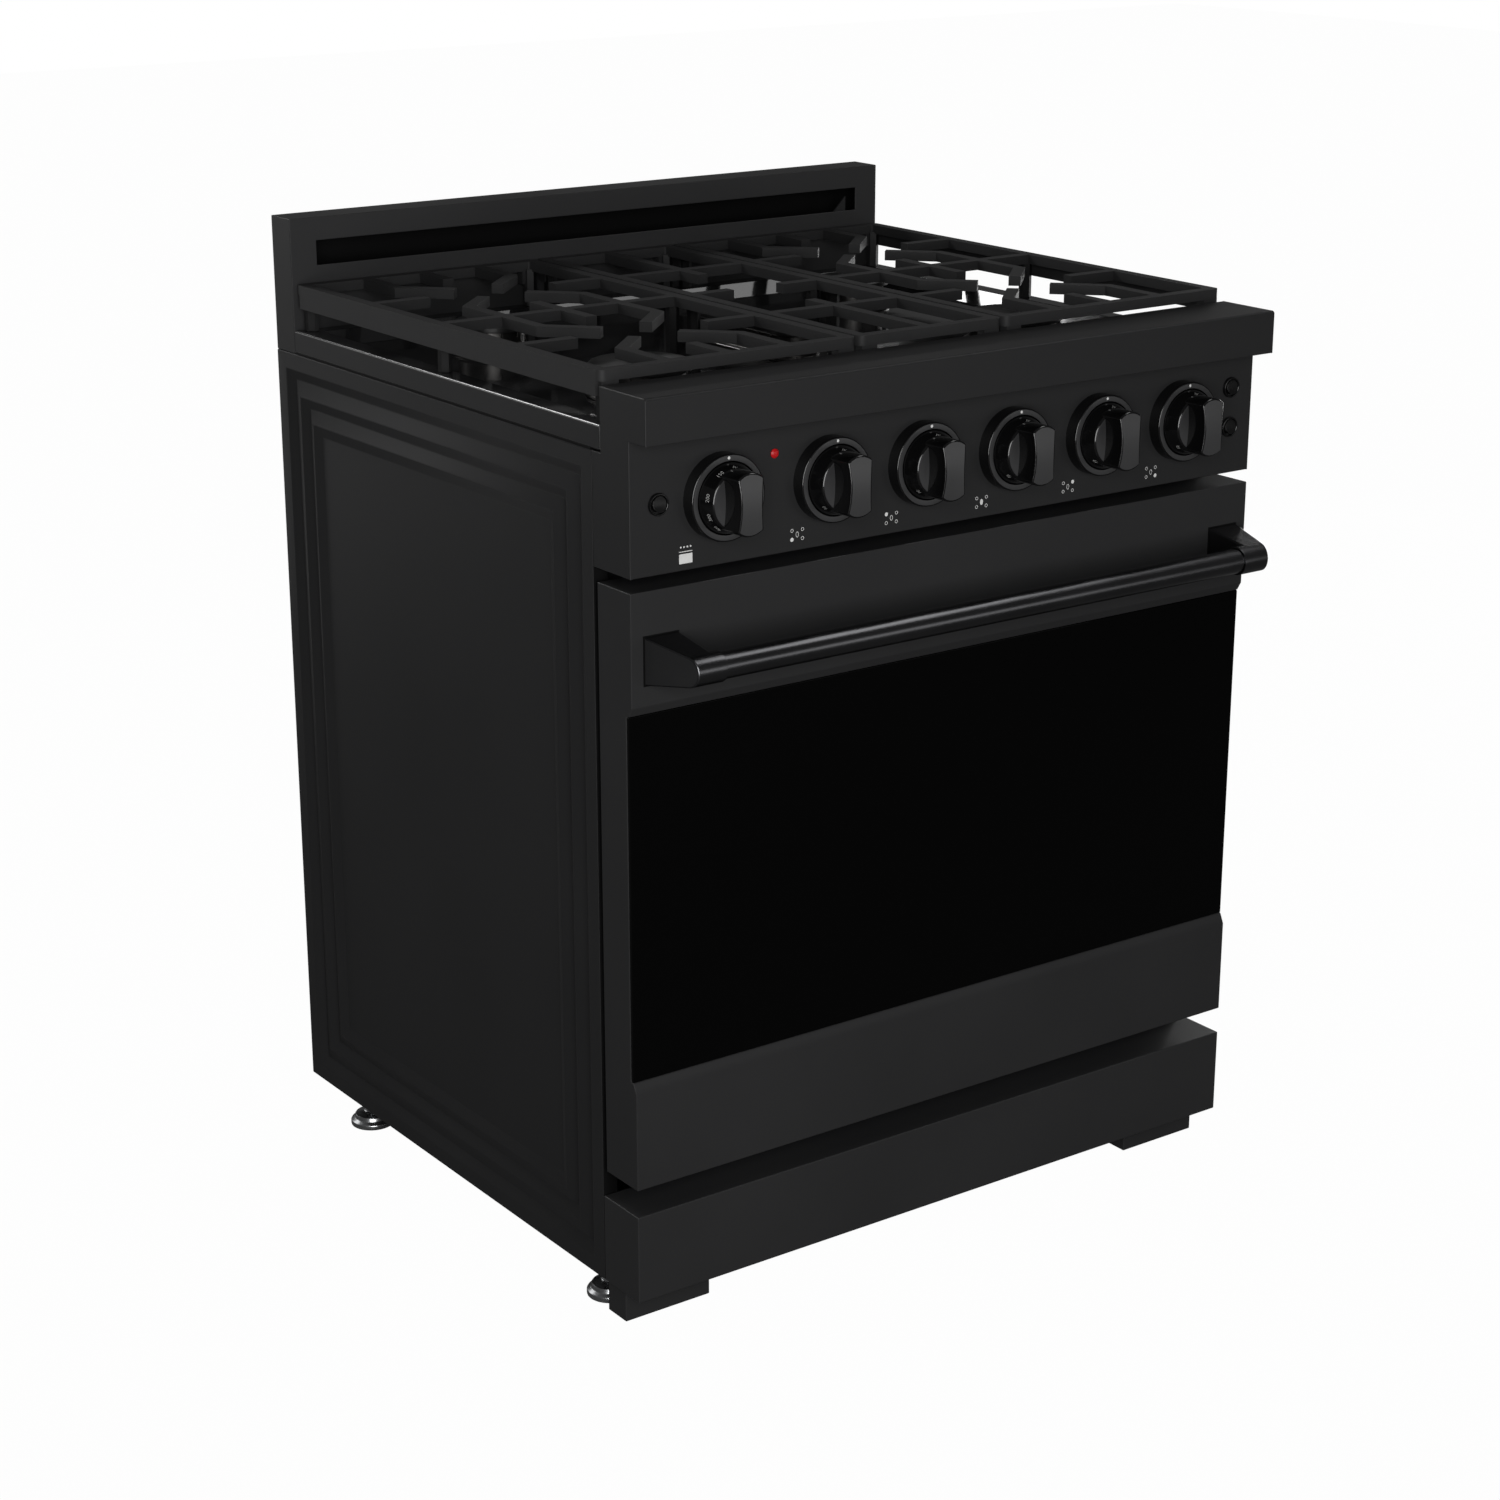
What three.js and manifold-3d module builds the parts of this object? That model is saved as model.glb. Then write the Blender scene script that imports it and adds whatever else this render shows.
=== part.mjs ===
// Freestanding gas range, 30-inch class: five sealed burners over one oven with a drop-down door.
// Millimetres. +Z is up, the front faces -Y, X runs left to right as the cook sees it.
// The origin is on the floor, under the middle of the range's overall width and depth.
// Depths below are drawn from the middle of the cooktop's shell; the last lines move the whole range.
import * as THREE from 'three';
import { mergeVertices } from 'three/addons/utils/BufferGeometryUtils.js';
import Module from 'manifold-3d';

const wasm = await Module();
wasm.setup();

// ---------------------------------------------------------------- driving dimensions
const WIDTH = 760;
const HALF = WIDTH / 2;
const TOTAL_HEIGHT = 999;
const BACK = 376;              // rear face of the range
const FACE = -288;             // front face of door, control panel and kick panel
const CARCASS_FRONT = -228;    // front edge of the side panels
const GAP = 0.4;               // clearance between pieces that touch
const SHEET = 2;               // folded sheet metal

const KICK_BOTTOM = 35;
const KICK_TOP = 126;
const DOOR_BOTTOM = 154;
const DOOR_TOP = 740;
const PANEL_BOTTOM = 753;
const PANEL_TOP = 877;
const SIDE_TOP = 860;
const LEDGE_TOP = 920;
const LEDGE_FRONT = -315;
const LEDGE_BACK = -242.5;
const RAIL_TOP = 885;          // top of the cooktop's raised border
const PAN_FLOOR = 870;
const GUARD_FRONT = 336;
const GRATE_TOP = 932.5;

const CAVITY = { half: 300, bottom: 195, top: 675, front: -230, back: 240 };
const HINGE = { y: -255, z: 162 };

// ---------------------------------------------------------------- finishes
function finish(colour, roughness, metalness) {
  return () => new THREE.MeshStandardMaterial({ color: colour, roughness, metalness });
}
const blackPaint = finish(0x1c1c1c, 0.55, 0.35);
const glossEnamel = finish(0x060606, 0.12, 0.0);
const castIron = finish(0x1a1a1a, 0.75, 0.3);
const capEnamel = finish(0x202020, 0.4, 0.1);
const burnerAlloy = finish(0x8f8d88, 0.35, 0.9);
const blackGlass = finish(0x020202, 0.05, 0.0);
const ovenEnamel = finish(0x23252b, 0.25, 0.0);
const glossPlastic = finish(0x0b0b0b, 0.15, 0.0);
const brightSteel = finish(0xb9bbbd, 0.25, 1.0);
const chromeWire = finish(0xc9cbcc, 0.15, 1.0);
const zincSheet = finish(0x9a9d9f, 0.45, 0.9);
const brassPipe = finish(0xa98d55, 0.35, 0.9);
const redLens = finish(0xc01414, 0.2, 0.0);

// ---------------------------------------------------------------- solids from geometries
function solid(geometry) {
  const bare = geometry.clone();
  for (const name of Object.keys(bare.attributes)) {
    if (name !== 'position') bare.deleteAttribute(name);
  }
  const merged = mergeVertices(bare, 1e-4);
  const mesh = new wasm.Mesh({
    numProp: 3,
    vertProperties: new Float32Array(merged.attributes.position.array),
    triVerts: new Uint32Array(merged.index.array),
  });
  return new wasm.Manifold(mesh);
}

function geometryOf(body) {
  const mesh = body.getMesh();
  const geometry = new THREE.BufferGeometry();
  const positions = new Float32Array(mesh.vertProperties);
  geometry.setAttribute('position', new THREE.BufferAttribute(positions, 3));
  geometry.setIndex(new THREE.BufferAttribute(new Uint32Array(mesh.triVerts), 1));
  geometry.computeVertexNormals();
  return geometry;
}

const join = (...bodies) => bodies.flat().reduce((sum, body) => sum.add(body));
const cut = (body, ...tools) => tools.flat().reduce((rest, tool) => rest.subtract(tool), body);

function box(x0, x1, y0, y1, z0, z1) {
  const geometry = new THREE.BoxGeometry(Math.abs(x1 - x0), Math.abs(y1 - y0), Math.abs(z1 - z0));
  geometry.translate((x0 + x1) / 2, (y0 + y1) / 2, (z0 + z1) / 2);
  return solid(geometry);
}

// A closed (radius, height) profile turned about an axis: 'x', 'y' (pointing to the front) or 'z'.
function turned(profile, segments, axis = 'z') {
  const points = profile.map(([r, h]) => new THREE.Vector2(r, h));
  const geometry = new THREE.LatheGeometry(points, segments);
  if (axis === 'z') geometry.rotateX(Math.PI / 2);
  if (axis === 'x') geometry.rotateZ(-Math.PI / 2);
  if (axis === 'y') geometry.rotateX(Math.PI);
  const body = solid(geometry);
  if (body.volume() < 0) throw new Error('profile runs the wrong way round');
  return body;
}

function rod(radius, from, to, segments = 16) {
  const start = new THREE.Vector3(...from);
  const span = new THREE.Vector3(...to).sub(start);
  const geometry = new THREE.CylinderGeometry(radius, radius, span.length(), segments);
  geometry.translate(0, span.length() / 2, 0);
  const up = new THREE.Vector3(0, 1, 0);
  geometry.applyQuaternion(new THREE.Quaternion().setFromUnitVectors(up, span.clone().normalize()));
  geometry.translate(start.x, start.y, start.z);
  return solid(geometry);
}

function ball(radius, at, segments = 12) {
  const geometry = new THREE.SphereGeometry(radius, segments, segments / 2);
  geometry.translate(...at);
  return solid(geometry);
}

// An outline in X and Y pulled up from z0 to z1.
function upright(shape, z0, z1, curveSegments = 8) {
  const options = { depth: z1 - z0, bevelEnabled: false, curveSegments };
  const geometry = new THREE.ExtrudeGeometry(shape, options);
  geometry.translate(0, 0, z0);
  return solid(geometry);
}

// An outline of (y, z) points pulled along X from x0 to x1.
function sideways(points, x0, x1, curveSegments = 8) {
  const drawn = points instanceof THREE.Shape;
  const shape = drawn ? points : new THREE.Shape(points.map(([y, z]) => new THREE.Vector2(y, z)));
  const options = { depth: x1 - x0, bevelEnabled: false, curveSegments };
  const geometry = new THREE.ExtrudeGeometry(shape, options);
  geometry.applyMatrix4(new THREE.Matrix4().set(0, 0, 1, x0, 1, 0, 0, 0, 0, 1, 0, 0, 0, 0, 0, 1));
  return solid(geometry);
}

function roundedRectangle(x0, x1, y0, y1, radius) {
  const shape = new THREE.Shape();
  shape.moveTo(x0 + radius, y0);
  shape.lineTo(x1 - radius, y0);
  shape.absarc(x1 - radius, y0 + radius, radius, -Math.PI / 2, 0);
  shape.lineTo(x1, y1 - radius);
  shape.absarc(x1 - radius, y1 - radius, radius, 0, Math.PI / 2);
  shape.lineTo(x0 + radius, y1);
  shape.absarc(x0 + radius, y1 - radius, radius, Math.PI / 2, Math.PI);
  shape.lineTo(x0, y0 + radius);
  shape.absarc(x0 + radius, y0 + radius, radius, Math.PI, 1.5 * Math.PI);
  return shape;
}

// A pressed sheet: rectangular rings [inset, height], front surface then back surface, joined at the rim.
function pressed(width, length, frontRings, backRings) {
  const points = [];
  const faces = [];
  const ringOf = ([inset, height]) => {
    const [a, b] = [width / 2 - inset, length / 2 - inset];
    points.push(-a, -b, height, a, -b, height, a, b, height, -a, b, height);
    return points.length / 3 - 4;
  };
  const fronts = frontRings.map(ringOf);
  const backs = backRings.map(ringOf);
  const band = (outer, inner, flip) => {
    for (let side = 0; side < 4; side++) {
      const next = (side + 1) % 4;
      const quad = [outer + side, outer + next, inner + next, inner + side];
      if (flip) quad.reverse();
      faces.push(quad[0], quad[1], quad[2], quad[0], quad[2], quad[3]);
    }
  };
  for (let i = 1; i < fronts.length; i++) band(fronts[i - 1], fronts[i], false);
  for (let i = 1; i < backs.length; i++) band(backs[i - 1], backs[i], true);
  band(backs[0], fronts[0], false);
  const [top, under] = [fronts.at(-1), backs.at(-1)];
  faces.push(top, top + 1, top + 2, top, top + 2, top + 3);
  faces.push(under, under + 2, under + 1, under, under + 3, under + 2);
  const geometry = new THREE.BufferGeometry();
  geometry.setAttribute('position', new THREE.Float32BufferAttribute(points, 3));
  geometry.setIndex(faces);
  return solid(geometry);
}

// A folded box of sheet metal: the outside box less its inside, left open on one side.
function foldedBox([x0, x1], [y0, y1], [z0, z1], open, wall = SHEET) {
  const innerBack = open === '+y' ? y1 + 1 : y1 - wall;
  const innerTop = open === '+z' ? z1 + 1 : z1 - wall;
  const innerBottom = open === '-z' ? z0 - 1 : z0 + wall;
  const inside = box(x0 + wall, x1 - wall, y0 + wall, innerBack, innerBottom, innerTop);
  return cut(box(x0, x1, y0, y1, z0, z1), inside);
}

// ---------------------------------------------------------------- the scene graph
const range = new THREE.Group();

function place(parent, name, body, material, position = [0, 0, 0]) {
  const geometry = body.isBufferGeometry ? body : geometryOf(body);
  const mesh = new THREE.Mesh(geometry, material());
  mesh.name = name;
  mesh.position.set(...position);
  parent.add(mesh);
  return mesh;
}

// ---------------------------------------------------------------- carcass
const carcass = new THREE.Group();
range.add(carcass);

// Side panels: one pressed sheet each, with a mitred moulding round a flat field.
const SIDE_LENGTH = BACK - CARCASS_FRONT - GAP;
const SIDE_HEIGHT = SIDE_TOP - KICK_BOTTOM;
const MOULDING = [[0, 0], [17, 0], [26, -5], [42, -0.8], [52, -5.8], [67, -1.2], [79, -5.2]];
const RETURN_WIDTH = 28;

function sidePanel(hand) {
  const back = MOULDING.map(([inset, depth]) => [inset + 0.001, depth - SHEET]);
  const panel = pressed(SIDE_LENGTH, SIDE_HEIGHT, MOULDING, back);
  const [front, top] = [-SIDE_LENGTH / 2, SIDE_HEIGHT / 2];
  const fold = box(front, front + SHEET, -top, top, -RETURN_WIDTH, -SHEET / 2);
  // The sheet is modelled lying down, moulding up; this stands it up on the range's side, front edge first.
  const geometry = geometryOf(join(panel, fold));
  const stand = new THREE.Matrix4().set(0, 0, 1, 0, 1, 0, 0, 0, 0, 1, 0, 0, 0, 0, 0, 1);
  geometry.applyMatrix4(stand);
  if (hand < 0) {
    geometry.scale(-1, 1, 1);
    geometry.index.array.reverse();
  }
  return geometry;
}
const SIDE_CENTRE = [(CARCASS_FRONT + GAP + BACK) / 2, (KICK_BOTTOM + SIDE_TOP) / 2];
place(carcass, 'left_side_panel', sidePanel(-1), blackPaint, [-HALF, ...SIDE_CENTRE]);
place(carcass, 'right_side_panel', sidePanel(1), blackPaint, [HALF, ...SIDE_CENTRE]);

// Base pan: a shallow tray with a hole for each levelling foot's stem.
const FOOT = { x: 354, frontY: -198, rearY: 287, stem: 5, disc: 24 };
const footPlaces = {
  front_left: [-FOOT.x, FOOT.frontY], front_right: [FOOT.x, FOOT.frontY],
  rear_left: [-FOOT.x, FOOT.rearY], rear_right: [FOOT.x, FOOT.rearY],
};
const TRAY = { half: 377.5, front: CARCASS_FRONT + 2.8, back: 371, bottom: KICK_BOTTOM + 1, top: 50 };

function basePan() {
  const tray = foldedBox([-TRAY.half, TRAY.half], [TRAY.front, TRAY.back], [TRAY.bottom, TRAY.top], '+z');
  const holes = Object.values(footPlaces).map(([x, y]) => rod(FOOT.stem + 1, [x, y, 0], [x, y, 50], 10));
  return cut(tray, holes);
}
place(carcass, 'base_pan', basePan(), zincSheet);

// Rear cover: galvanised sheet with a raised field, rows of louvre slots and the gas pipe's hole.
const GAS = { x: 318, z: 140, radius: 8 };

function rearCover() {
  const [width, height] = [755, SIDE_TOP - 38];
  const rings = [[0, 0], [30, 0], [36, 3]];
  const inside = rings.map(([inset, up]) => [inset + 0.001, up - 1.6]);
  const sheet = geometryOf(pressed(width, height, rings, inside));
  const middle = 38 + height / 2;
  sheet.applyMatrix4(new THREE.Matrix4().set(-1, 0, 0, 0, 0, 0, 1, BACK - 3, 0, 1, 0, middle, 0, 0, 0, 1));
  const slots = [];
  for (const x of [-200, 0, 200]) {
    for (const z of [740, 775]) slots.push(box(x - 70, x + 70, BACK - 10, BACK + 1, z, z + 6));
  }
  const pipeHole = rod(GAS.radius + 1.5, [GAS.x, BACK - 20, GAS.z], [GAS.x, BACK + 20, GAS.z], 12);
  return cut(solid(sheet), slots, pipeHole);
}
place(carcass, 'rear_cover', rearCover(), zincSheet);

// Kick panel and the two square leg covers below it.
const kick = foldedBox([-HALF, HALF], [FACE, CARCASS_FRONT - GAP], [KICK_BOTTOM, KICK_TOP], '+y');
place(carcass, 'kick_panel', kick, blackPaint);

const LEG = { inner: 276, outer: 375, front: -257, back: -226 };
for (const [name, sign] of [['left', -1], ['right', 1]]) {
  const xs = [sign * LEG.inner, sign * LEG.outer].sort((a, b) => a - b);
  const cover = foldedBox(xs, [LEG.front, LEG.back], [0, KICK_BOTTOM - GAP], '+z', 3);
  place(carcass, `front_leg_${name}`, cover, blackPaint);
}

// Levelling feet: a two-step domed disc on a threaded stem.
const footProfile = [
  [0, 0], [FOOT.disc, 0], [FOOT.disc, 6], [20, 8.6], [20, 12], [9, 16], [9, 24],
  [FOOT.stem, 24], [FOOT.stem, 58], [0, 58],
];
for (const [corner, [x, y]] of Object.entries(footPlaces)) {
  place(carcass, `levelling_foot_${corner}`, turned(footProfile, 12), brightSteel, [x, y, 0]);
}

// ---------------------------------------------------------------- oven
const oven = new THREE.Group();
range.add(oven);

const LINER_WALL = 2;
const GUIDE = { inward: 8, high: 5, levels: [285, 345, 405, 465, 525] };
const FAN = { z: 430, radius: 66, y: CAVITY.back - 16, shaft: 7 };

// Enamelled cavity, welded to the front frame that the door closes on, with pressed rack guides and
// the fan's motor on its rear wall.
function ovenLiner() {
  const { half, bottom, top, front, back } = CAVITY;
  const w = LINER_WALL;
  const shell = box(-half - w, half + w, front, back + w, bottom - w, top + w);
  const frame = box(-350, 350, front, front + w, KICK_TOP + 2, PANEL_BOTTOM - 1);
  const hollow = box(-half, half, front - 1, back, bottom, top);
  const guides = [];
  for (const z of GUIDE.levels) {
    guides.push(box(-half - 1, -half + GUIDE.inward, front + 12, back - 12, z - GUIDE.high, z));
    guides.push(box(half - GUIDE.inward, half + 1, front + 12, back - 12, z - GUIDE.high, z));
  }
  const motor = rod(30, [0, back + 1, FAN.z], [0, back + 45, FAN.z], 16);
  const shaftHole = rod(FAN.shaft + GAP, [0, back - 5, FAN.z], [0, back + 24, FAN.z], 12);
  return cut(join(cut(join(shell, frame), hollow), guides, motor), shaftHole);
}
place(oven, 'oven_liner', ovenLiner(), ovenEnamel);

// Oven racks: round wire, a border with a raised stop at the back and straight bars front to back.
const RACK = { half: 296, front: -205, back: 204, wire: 2.5, border: 4, bars: 11 };

function ovenRack() {
  const { half, front, back, wire, border, bars } = RACK;
  const z = border + GAP;
  const reach = half - border;
  const corners = [[-reach, front], [reach, front], [reach, back], [-reach, back]];
  const pieces = corners.map(([x, y], i) => {
    const [nx, ny] = corners[(i + 1) % corners.length];
    return rod(border, [x, y, z], [nx, ny, z], 6);
  });
  for (let i = 1; i <= bars; i++) {
    const x = -reach + (i * 2 * reach) / (bars + 1);
    pieces.push(rod(wire, [x, front, z], [x, back, z], 5));
  }
  return join(pieces);
}
place(oven, 'oven_rack_lower', ovenRack(), chromeWire, [0, 0, GUIDE.levels[1]]);
place(oven, 'oven_rack_upper', ovenRack(), chromeWire, [0, 0, GUIDE.levels[3]]);

// Bake burner: a loop of tube under the cavity's floor, with a tail to the gas pipe's side.
function bakeBurner() {
  const z = CAVITY.bottom - LINER_WALL - 11 - GAP;
  const path = [[-200, 150], [-200, -130], [200, -130], [200, 150]];
  const pieces = path.slice(1).map(([x, y], i) => rod(11, [...path[i], z], [x, y, z], 6));
  path.slice(1, 3).forEach(([x, y]) => pieces.push(ball(11, [x, y, z], 6)));
  pieces.push(rod(9, [200, 10, z], [262, 10, z], 6));
  return join(pieces);
}
place(oven, 'bake_burner', bakeBurner(), zincSheet);

// Convection fan and the slotted cover in front of it, on the cavity's rear wall.
function fanWheel() {
  const hub = rod(14, [0, -6, 0], [0, 6, 0], 12);
  const shaft = rod(FAN.shaft, [0, 5, 0], [0, 34, 0], 12);
  const blades = [];
  for (let i = 0; i < 6; i++) {
    const blade = box(10, FAN.radius - 8, -6, 5, -0.8, 0.8);
    blades.push(blade.rotate([0, i * 60, 0]));
  }
  return join(hub, shaft, blades);
}
place(oven, 'convection_fan', fanWheel(), zincSheet, [0, FAN.y, FAN.z]);

function fanCover() {
  const { y, z, radius } = FAN;
  const [front, back] = [y - 12, CAVITY.back - GAP];
  const drum = cut(
    rod(radius + 18, [0, front, z], [0, back, z], 20),
    rod(radius + 16, [0, front + 2, z], [0, back + 1, z], 20),
  );
  const slots = [];
  for (let row = -2; row <= 2; row++) {
    const reach = Math.sqrt((radius - 4) ** 2 - (row * 22) ** 2);
    slots.push(box(-reach, reach, front - 1, front + 3, z + row * 22 - 4, z + row * 22 + 4));
  }
  return cut(drum, slots);
}
place(oven, 'fan_cover', fanCover(), ovenEnamel);

// ---------------------------------------------------------------- oven door, hinged at its foot
const door = new THREE.Group();
range.add(door);

const DOOR_BACK = -234.4;
const GLASS = { bottom: 264, top: 624, lowerLip: 253, upperLip: 633, face: -283, thick: 4 };
const WINDOW = { half: 240, bottom: 300, top: 590 };
const NOTCH = { inner: 300, outer: 340, top: 170.5, front: -264 };

function hingeNotches() {
  return [-1, 1].map((sign) => {
    const xs = [sign * NOTCH.inner, sign * NOTCH.outer].sort((a, b) => a - b);
    return box(xs[0], xs[1], NOTCH.front, DOOR_BACK + 14, DOOR_BOTTOM - 5, NOTCH.top);
  });
}

// Door panel: a folded tray whose two bands stand proud of the glass, with bevelled lips.
function doorPanel() {
  const seat = GLASS.face + GLASS.thick + GAP;
  const outline = [
    [FACE, DOOR_BOTTOM], [DOOR_BACK, DOOR_BOTTOM], [DOOR_BACK, DOOR_TOP], [FACE, DOOR_TOP],
    [FACE, GLASS.upperLip], [GLASS.face, GLASS.top], [seat, GLASS.top],
    [seat, GLASS.bottom], [GLASS.face, GLASS.bottom], [FACE, GLASS.lowerLip],
  ];
  const [x0, x1] = [-HALF + SHEET, HALF - SHEET];
  const hollow = box(x0, x1, seat + SHEET, DOOR_BACK + 1, DOOR_BOTTOM + SHEET, DOOR_TOP - SHEET);
  const upperBand = box(x0, x1, FACE + SHEET, seat + SHEET + 1, GLASS.upperLip + 6, DOOR_TOP - SHEET);
  const lowerBand = box(x0, x1, FACE + SHEET, seat + SHEET + 1, DOOR_BOTTOM + SHEET, GLASS.lowerLip - 6);
  const [half, bottom, top] = [WINDOW.half + 8, WINDOW.bottom - 8, WINDOW.top + 8];
  const window = box(-half, half, seat - 1, seat + SHEET + 1, bottom, top);
  return cut(sideways(outline, -HALF, HALF), hollow, upperBand, lowerBand, window, hingeNotches());
}
place(door, 'door_panel', doorPanel(), blackPaint);

const [paneBottom, paneTop] = [GLASS.bottom + GAP, GLASS.top - GAP];
const glass = box(-HALF + 0.5, HALF - 0.5, GLASS.face, GLASS.face + GLASS.thick, paneBottom, paneTop);
place(door, 'door_glass', glass, blackGlass);

// Inner door liner: pressed towards the oven, with the inner pane held behind its window.
const PLUG = { width: 753, height: 579, rise: 10, bottom: 157, inset: 82 };

function doorLiner() {
  const rings = [[0, 0], [PLUG.inset, 0], [PLUG.inset + 8, PLUG.rise]];
  const inside = rings.map(([inset, up]) => [inset + 0.001, up - SHEET]);
  const sheet = geometryOf(pressed(PLUG.width, PLUG.height, rings, inside));
  const middle = DOOR_BOTTOM + SHEET + GAP + PLUG.height / 2;
  sheet.applyMatrix4(new THREE.Matrix4().set(-1, 0, 0, 0, 0, 0, 1, DOOR_BACK, 0, 1, 0, middle, 0, 0, 0, 1));
  const [half, bottom, top] = [WINDOW.half - 6, WINDOW.bottom + 6, WINDOW.top - 6];
  const window = box(-half, half, DOOR_BACK - 10, DOOR_BACK + 20, bottom, top);
  return cut(solid(sheet), window, hingeNotches());
}
place(door, 'door_liner', doorLiner(), ovenEnamel);

const paneBack = DOOR_BACK + PLUG.rise - SHEET - GAP;
const paneFront = paneBack - GLASS.thick;
const innerPane = box(-WINDOW.half, WINDOW.half, paneFront, paneBack, WINDOW.bottom, WINDOW.top);
place(door, 'door_inner_glass', innerPane, blackGlass);

// Handle: a round bar between two cast brackets. Seen from the side a bracket tapers to a round nose
// on the bar's axis; seen from above its outer face leans in and rounds off into the nose. A short
// collar takes the bar's end.
const BAR = { y: -338.6, z: 675.5, radius: 12.5 };
const BRACKET = { inner: 329, outer: 366, lean: 0.233, round: 18.7, height: 45.4, nose: 14.4, collar: 9.7 };

function bracketSide() {
  const { nose, height } = BRACKET;
  const [root, half] = [FACE - GAP - BAR.y, height / 2];
  const tangent = Math.atan2(half, root) + Math.acos(nose / Math.hypot(root, half));
  const shape = new THREE.Shape();
  shape.moveTo(BAR.y + root, BAR.z - half);
  shape.lineTo(BAR.y + root, BAR.z + half);
  shape.absarc(BAR.y, BAR.z, nose, tangent, 2 * Math.PI - tangent);
  shape.closePath();
  return shape;
}

function bracketPlan() {
  const { inner, outer, lean, round, nose } = BRACKET;
  const root = FACE - GAP;
  const angle = Math.atan(lean);
  const front = BAR.y - nose;
  const centreY = front + round;
  const bendY = centreY - round * Math.sin(angle);
  const centreX = outer - lean * (root - bendY) - round * Math.cos(angle);
  const shape = new THREE.Shape();
  shape.moveTo(inner, front - 1);
  shape.lineTo(centreX, front - 1);
  shape.absarc(centreX, centreY, round, -Math.PI / 2, -angle);
  shape.lineTo(outer, root);
  shape.lineTo(outer, root + 1);
  shape.lineTo(inner, root + 1);
  shape.closePath();
  return shape;
}

function handleBracket(sign) {
  const { inner, outer, height, nose, collar } = BRACKET;
  const at = (x) => [x, BAR.y, BAR.z];
  const arm = sideways(bracketSide(), inner, outer + 1, 24);
  const plan = upright(bracketPlan(), BAR.z - height, BAR.z + height, 8);
  const sleeve = rod(nose, at(inner - collar), at(inner + 5), 24);
  const socket = rod(BAR.radius + GAP, at(inner - collar - 1), at(inner - collar + 12), 20);
  const body = cut(join(arm.intersect(plan), sleeve), socket);
  return sign > 0 ? body : body.mirror([1, 0, 0]);
}
place(door, 'handle_bracket_left', handleBracket(-1), blackPaint);
place(door, 'handle_bracket_right', handleBracket(1), blackPaint);
const barEnd = BRACKET.inner - BRACKET.collar + 12 - GAP;
const handleBar = rod(BAR.radius, [-barEnd, BAR.y, BAR.z], [barEnd, BAR.y, BAR.z], 20);
place(door, 'handle_bar', handleBar, blackPaint);

// Hinge brackets: a barrel on the door's axis, an arm back to the front frame and a bolting tab.
const HINGE_PLATE = { inner: 305, outer: 335, barrel: 7, back: CAVITY.front - GAP };

function hingeBracket(sign) {
  const { inner, outer, barrel: radius, back } = HINGE_PLATE;
  const [x0, x1] = sign > 0 ? [inner, outer] : [-outer, -inner];
  const barrel = rod(radius, [x0, HINGE.y, HINGE.z], [x1, HINGE.y, HINGE.z], 20);
  const arm = box(x0, x1, HINGE.y, back, HINGE.z - 3, HINGE.z + 3);
  const tab = box(x0, x1, back - 2.4, back, HINGE.z - 20, HINGE.z + 8);
  return join(barrel, arm, tab);
}
place(carcass, 'door_hinge_left', hingeBracket(-1), zincSheet);
place(carcass, 'door_hinge_right', hingeBracket(1), zincSheet);

// ---------------------------------------------------------------- control panel
const controls = new THREE.Group();
range.add(controls);

const KNOB_Z = 816.7;
const KNOBS = {
  oven: -282, front_left: -160, rear_left: -50, centre: 60, rear_right: 170, front_right: 280,
};
const BEZEL = { outer: 40.2, inner: 33.8, proud: 14 };
const STEM = { radius: 4, front: -34, back: 40, bore: 4.6 };
const SWITCHES = { left: [-349.5, 817.8], right_upper: [349.5, 841.7], right_lower: [349.5, 801.1] };
const SWITCH = { radius: 10.5, opening: 8.4, proud: 3 };
const LAMP = { x: -221.9, z: 847.4, radius: 4.6 };

function controlPanel() {
  const shell = foldedBox([-HALF, HALF], [FACE, CARCASS_FRONT - GAP], [PANEL_BOTTOM, PANEL_TOP], '+y');
  const { outer, inner, proud } = BEZEL;
  const ring = turned([[inner, -1], [outer, -1], [outer, proud], [inner, proud], [inner, -1]], 20, 'y');
  const { radius, opening } = SWITCH;
  const rim = [[opening, -1], [radius, -1], [radius, SWITCH.proud], [opening, SWITCH.proud], [opening, -1]];
  const switchRing = turned(rim, 12, 'y');
  const rings = Object.values(KNOBS).map((x) => ring.translate([x, FACE, KNOB_Z]));
  const switchRings = Object.values(SWITCHES).map(([x, z]) => switchRing.translate([x, FACE, z]));
  const hole = (size, x, z, segments) => rod(size, [x, FACE - 5, z], [x, FACE + 10, z], segments);
  const holes = Object.values(KNOBS).map((x) => hole(STEM.radius + 2, x, KNOB_Z, 8));
  for (const [x, z] of Object.values(SWITCHES)) holes.push(hole(opening, x, z, 12));
  holes.push(hole(LAMP.radius - 0.6, LAMP.x, LAMP.z, 8));
  const heel = box(-WIDTH, WIDTH, LEDGE_BACK, CARCASS_FRONT + 1, SIDE_TOP, PANEL_TOP + 1);
  return cut(join(shell, rings, switchRings), holes, heel);
}
place(controls, 'control_panel', controlPanel(), blackPaint);

// Indicator lamp: a domed lens on a body through the panel.
const lampProfile = [
  [0, -8], [LAMP.radius - 1.2, -8], [LAMP.radius - 1.2, GAP], [LAMP.radius, GAP],
  [LAMP.radius, 1.2], [2.8, 2.8], [0, 3.2],
];
place(controls, 'indicator_lamp', turned(lampProfile, 10, 'y'), redLens, [LAMP.x, FACE, LAMP.z]);

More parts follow.
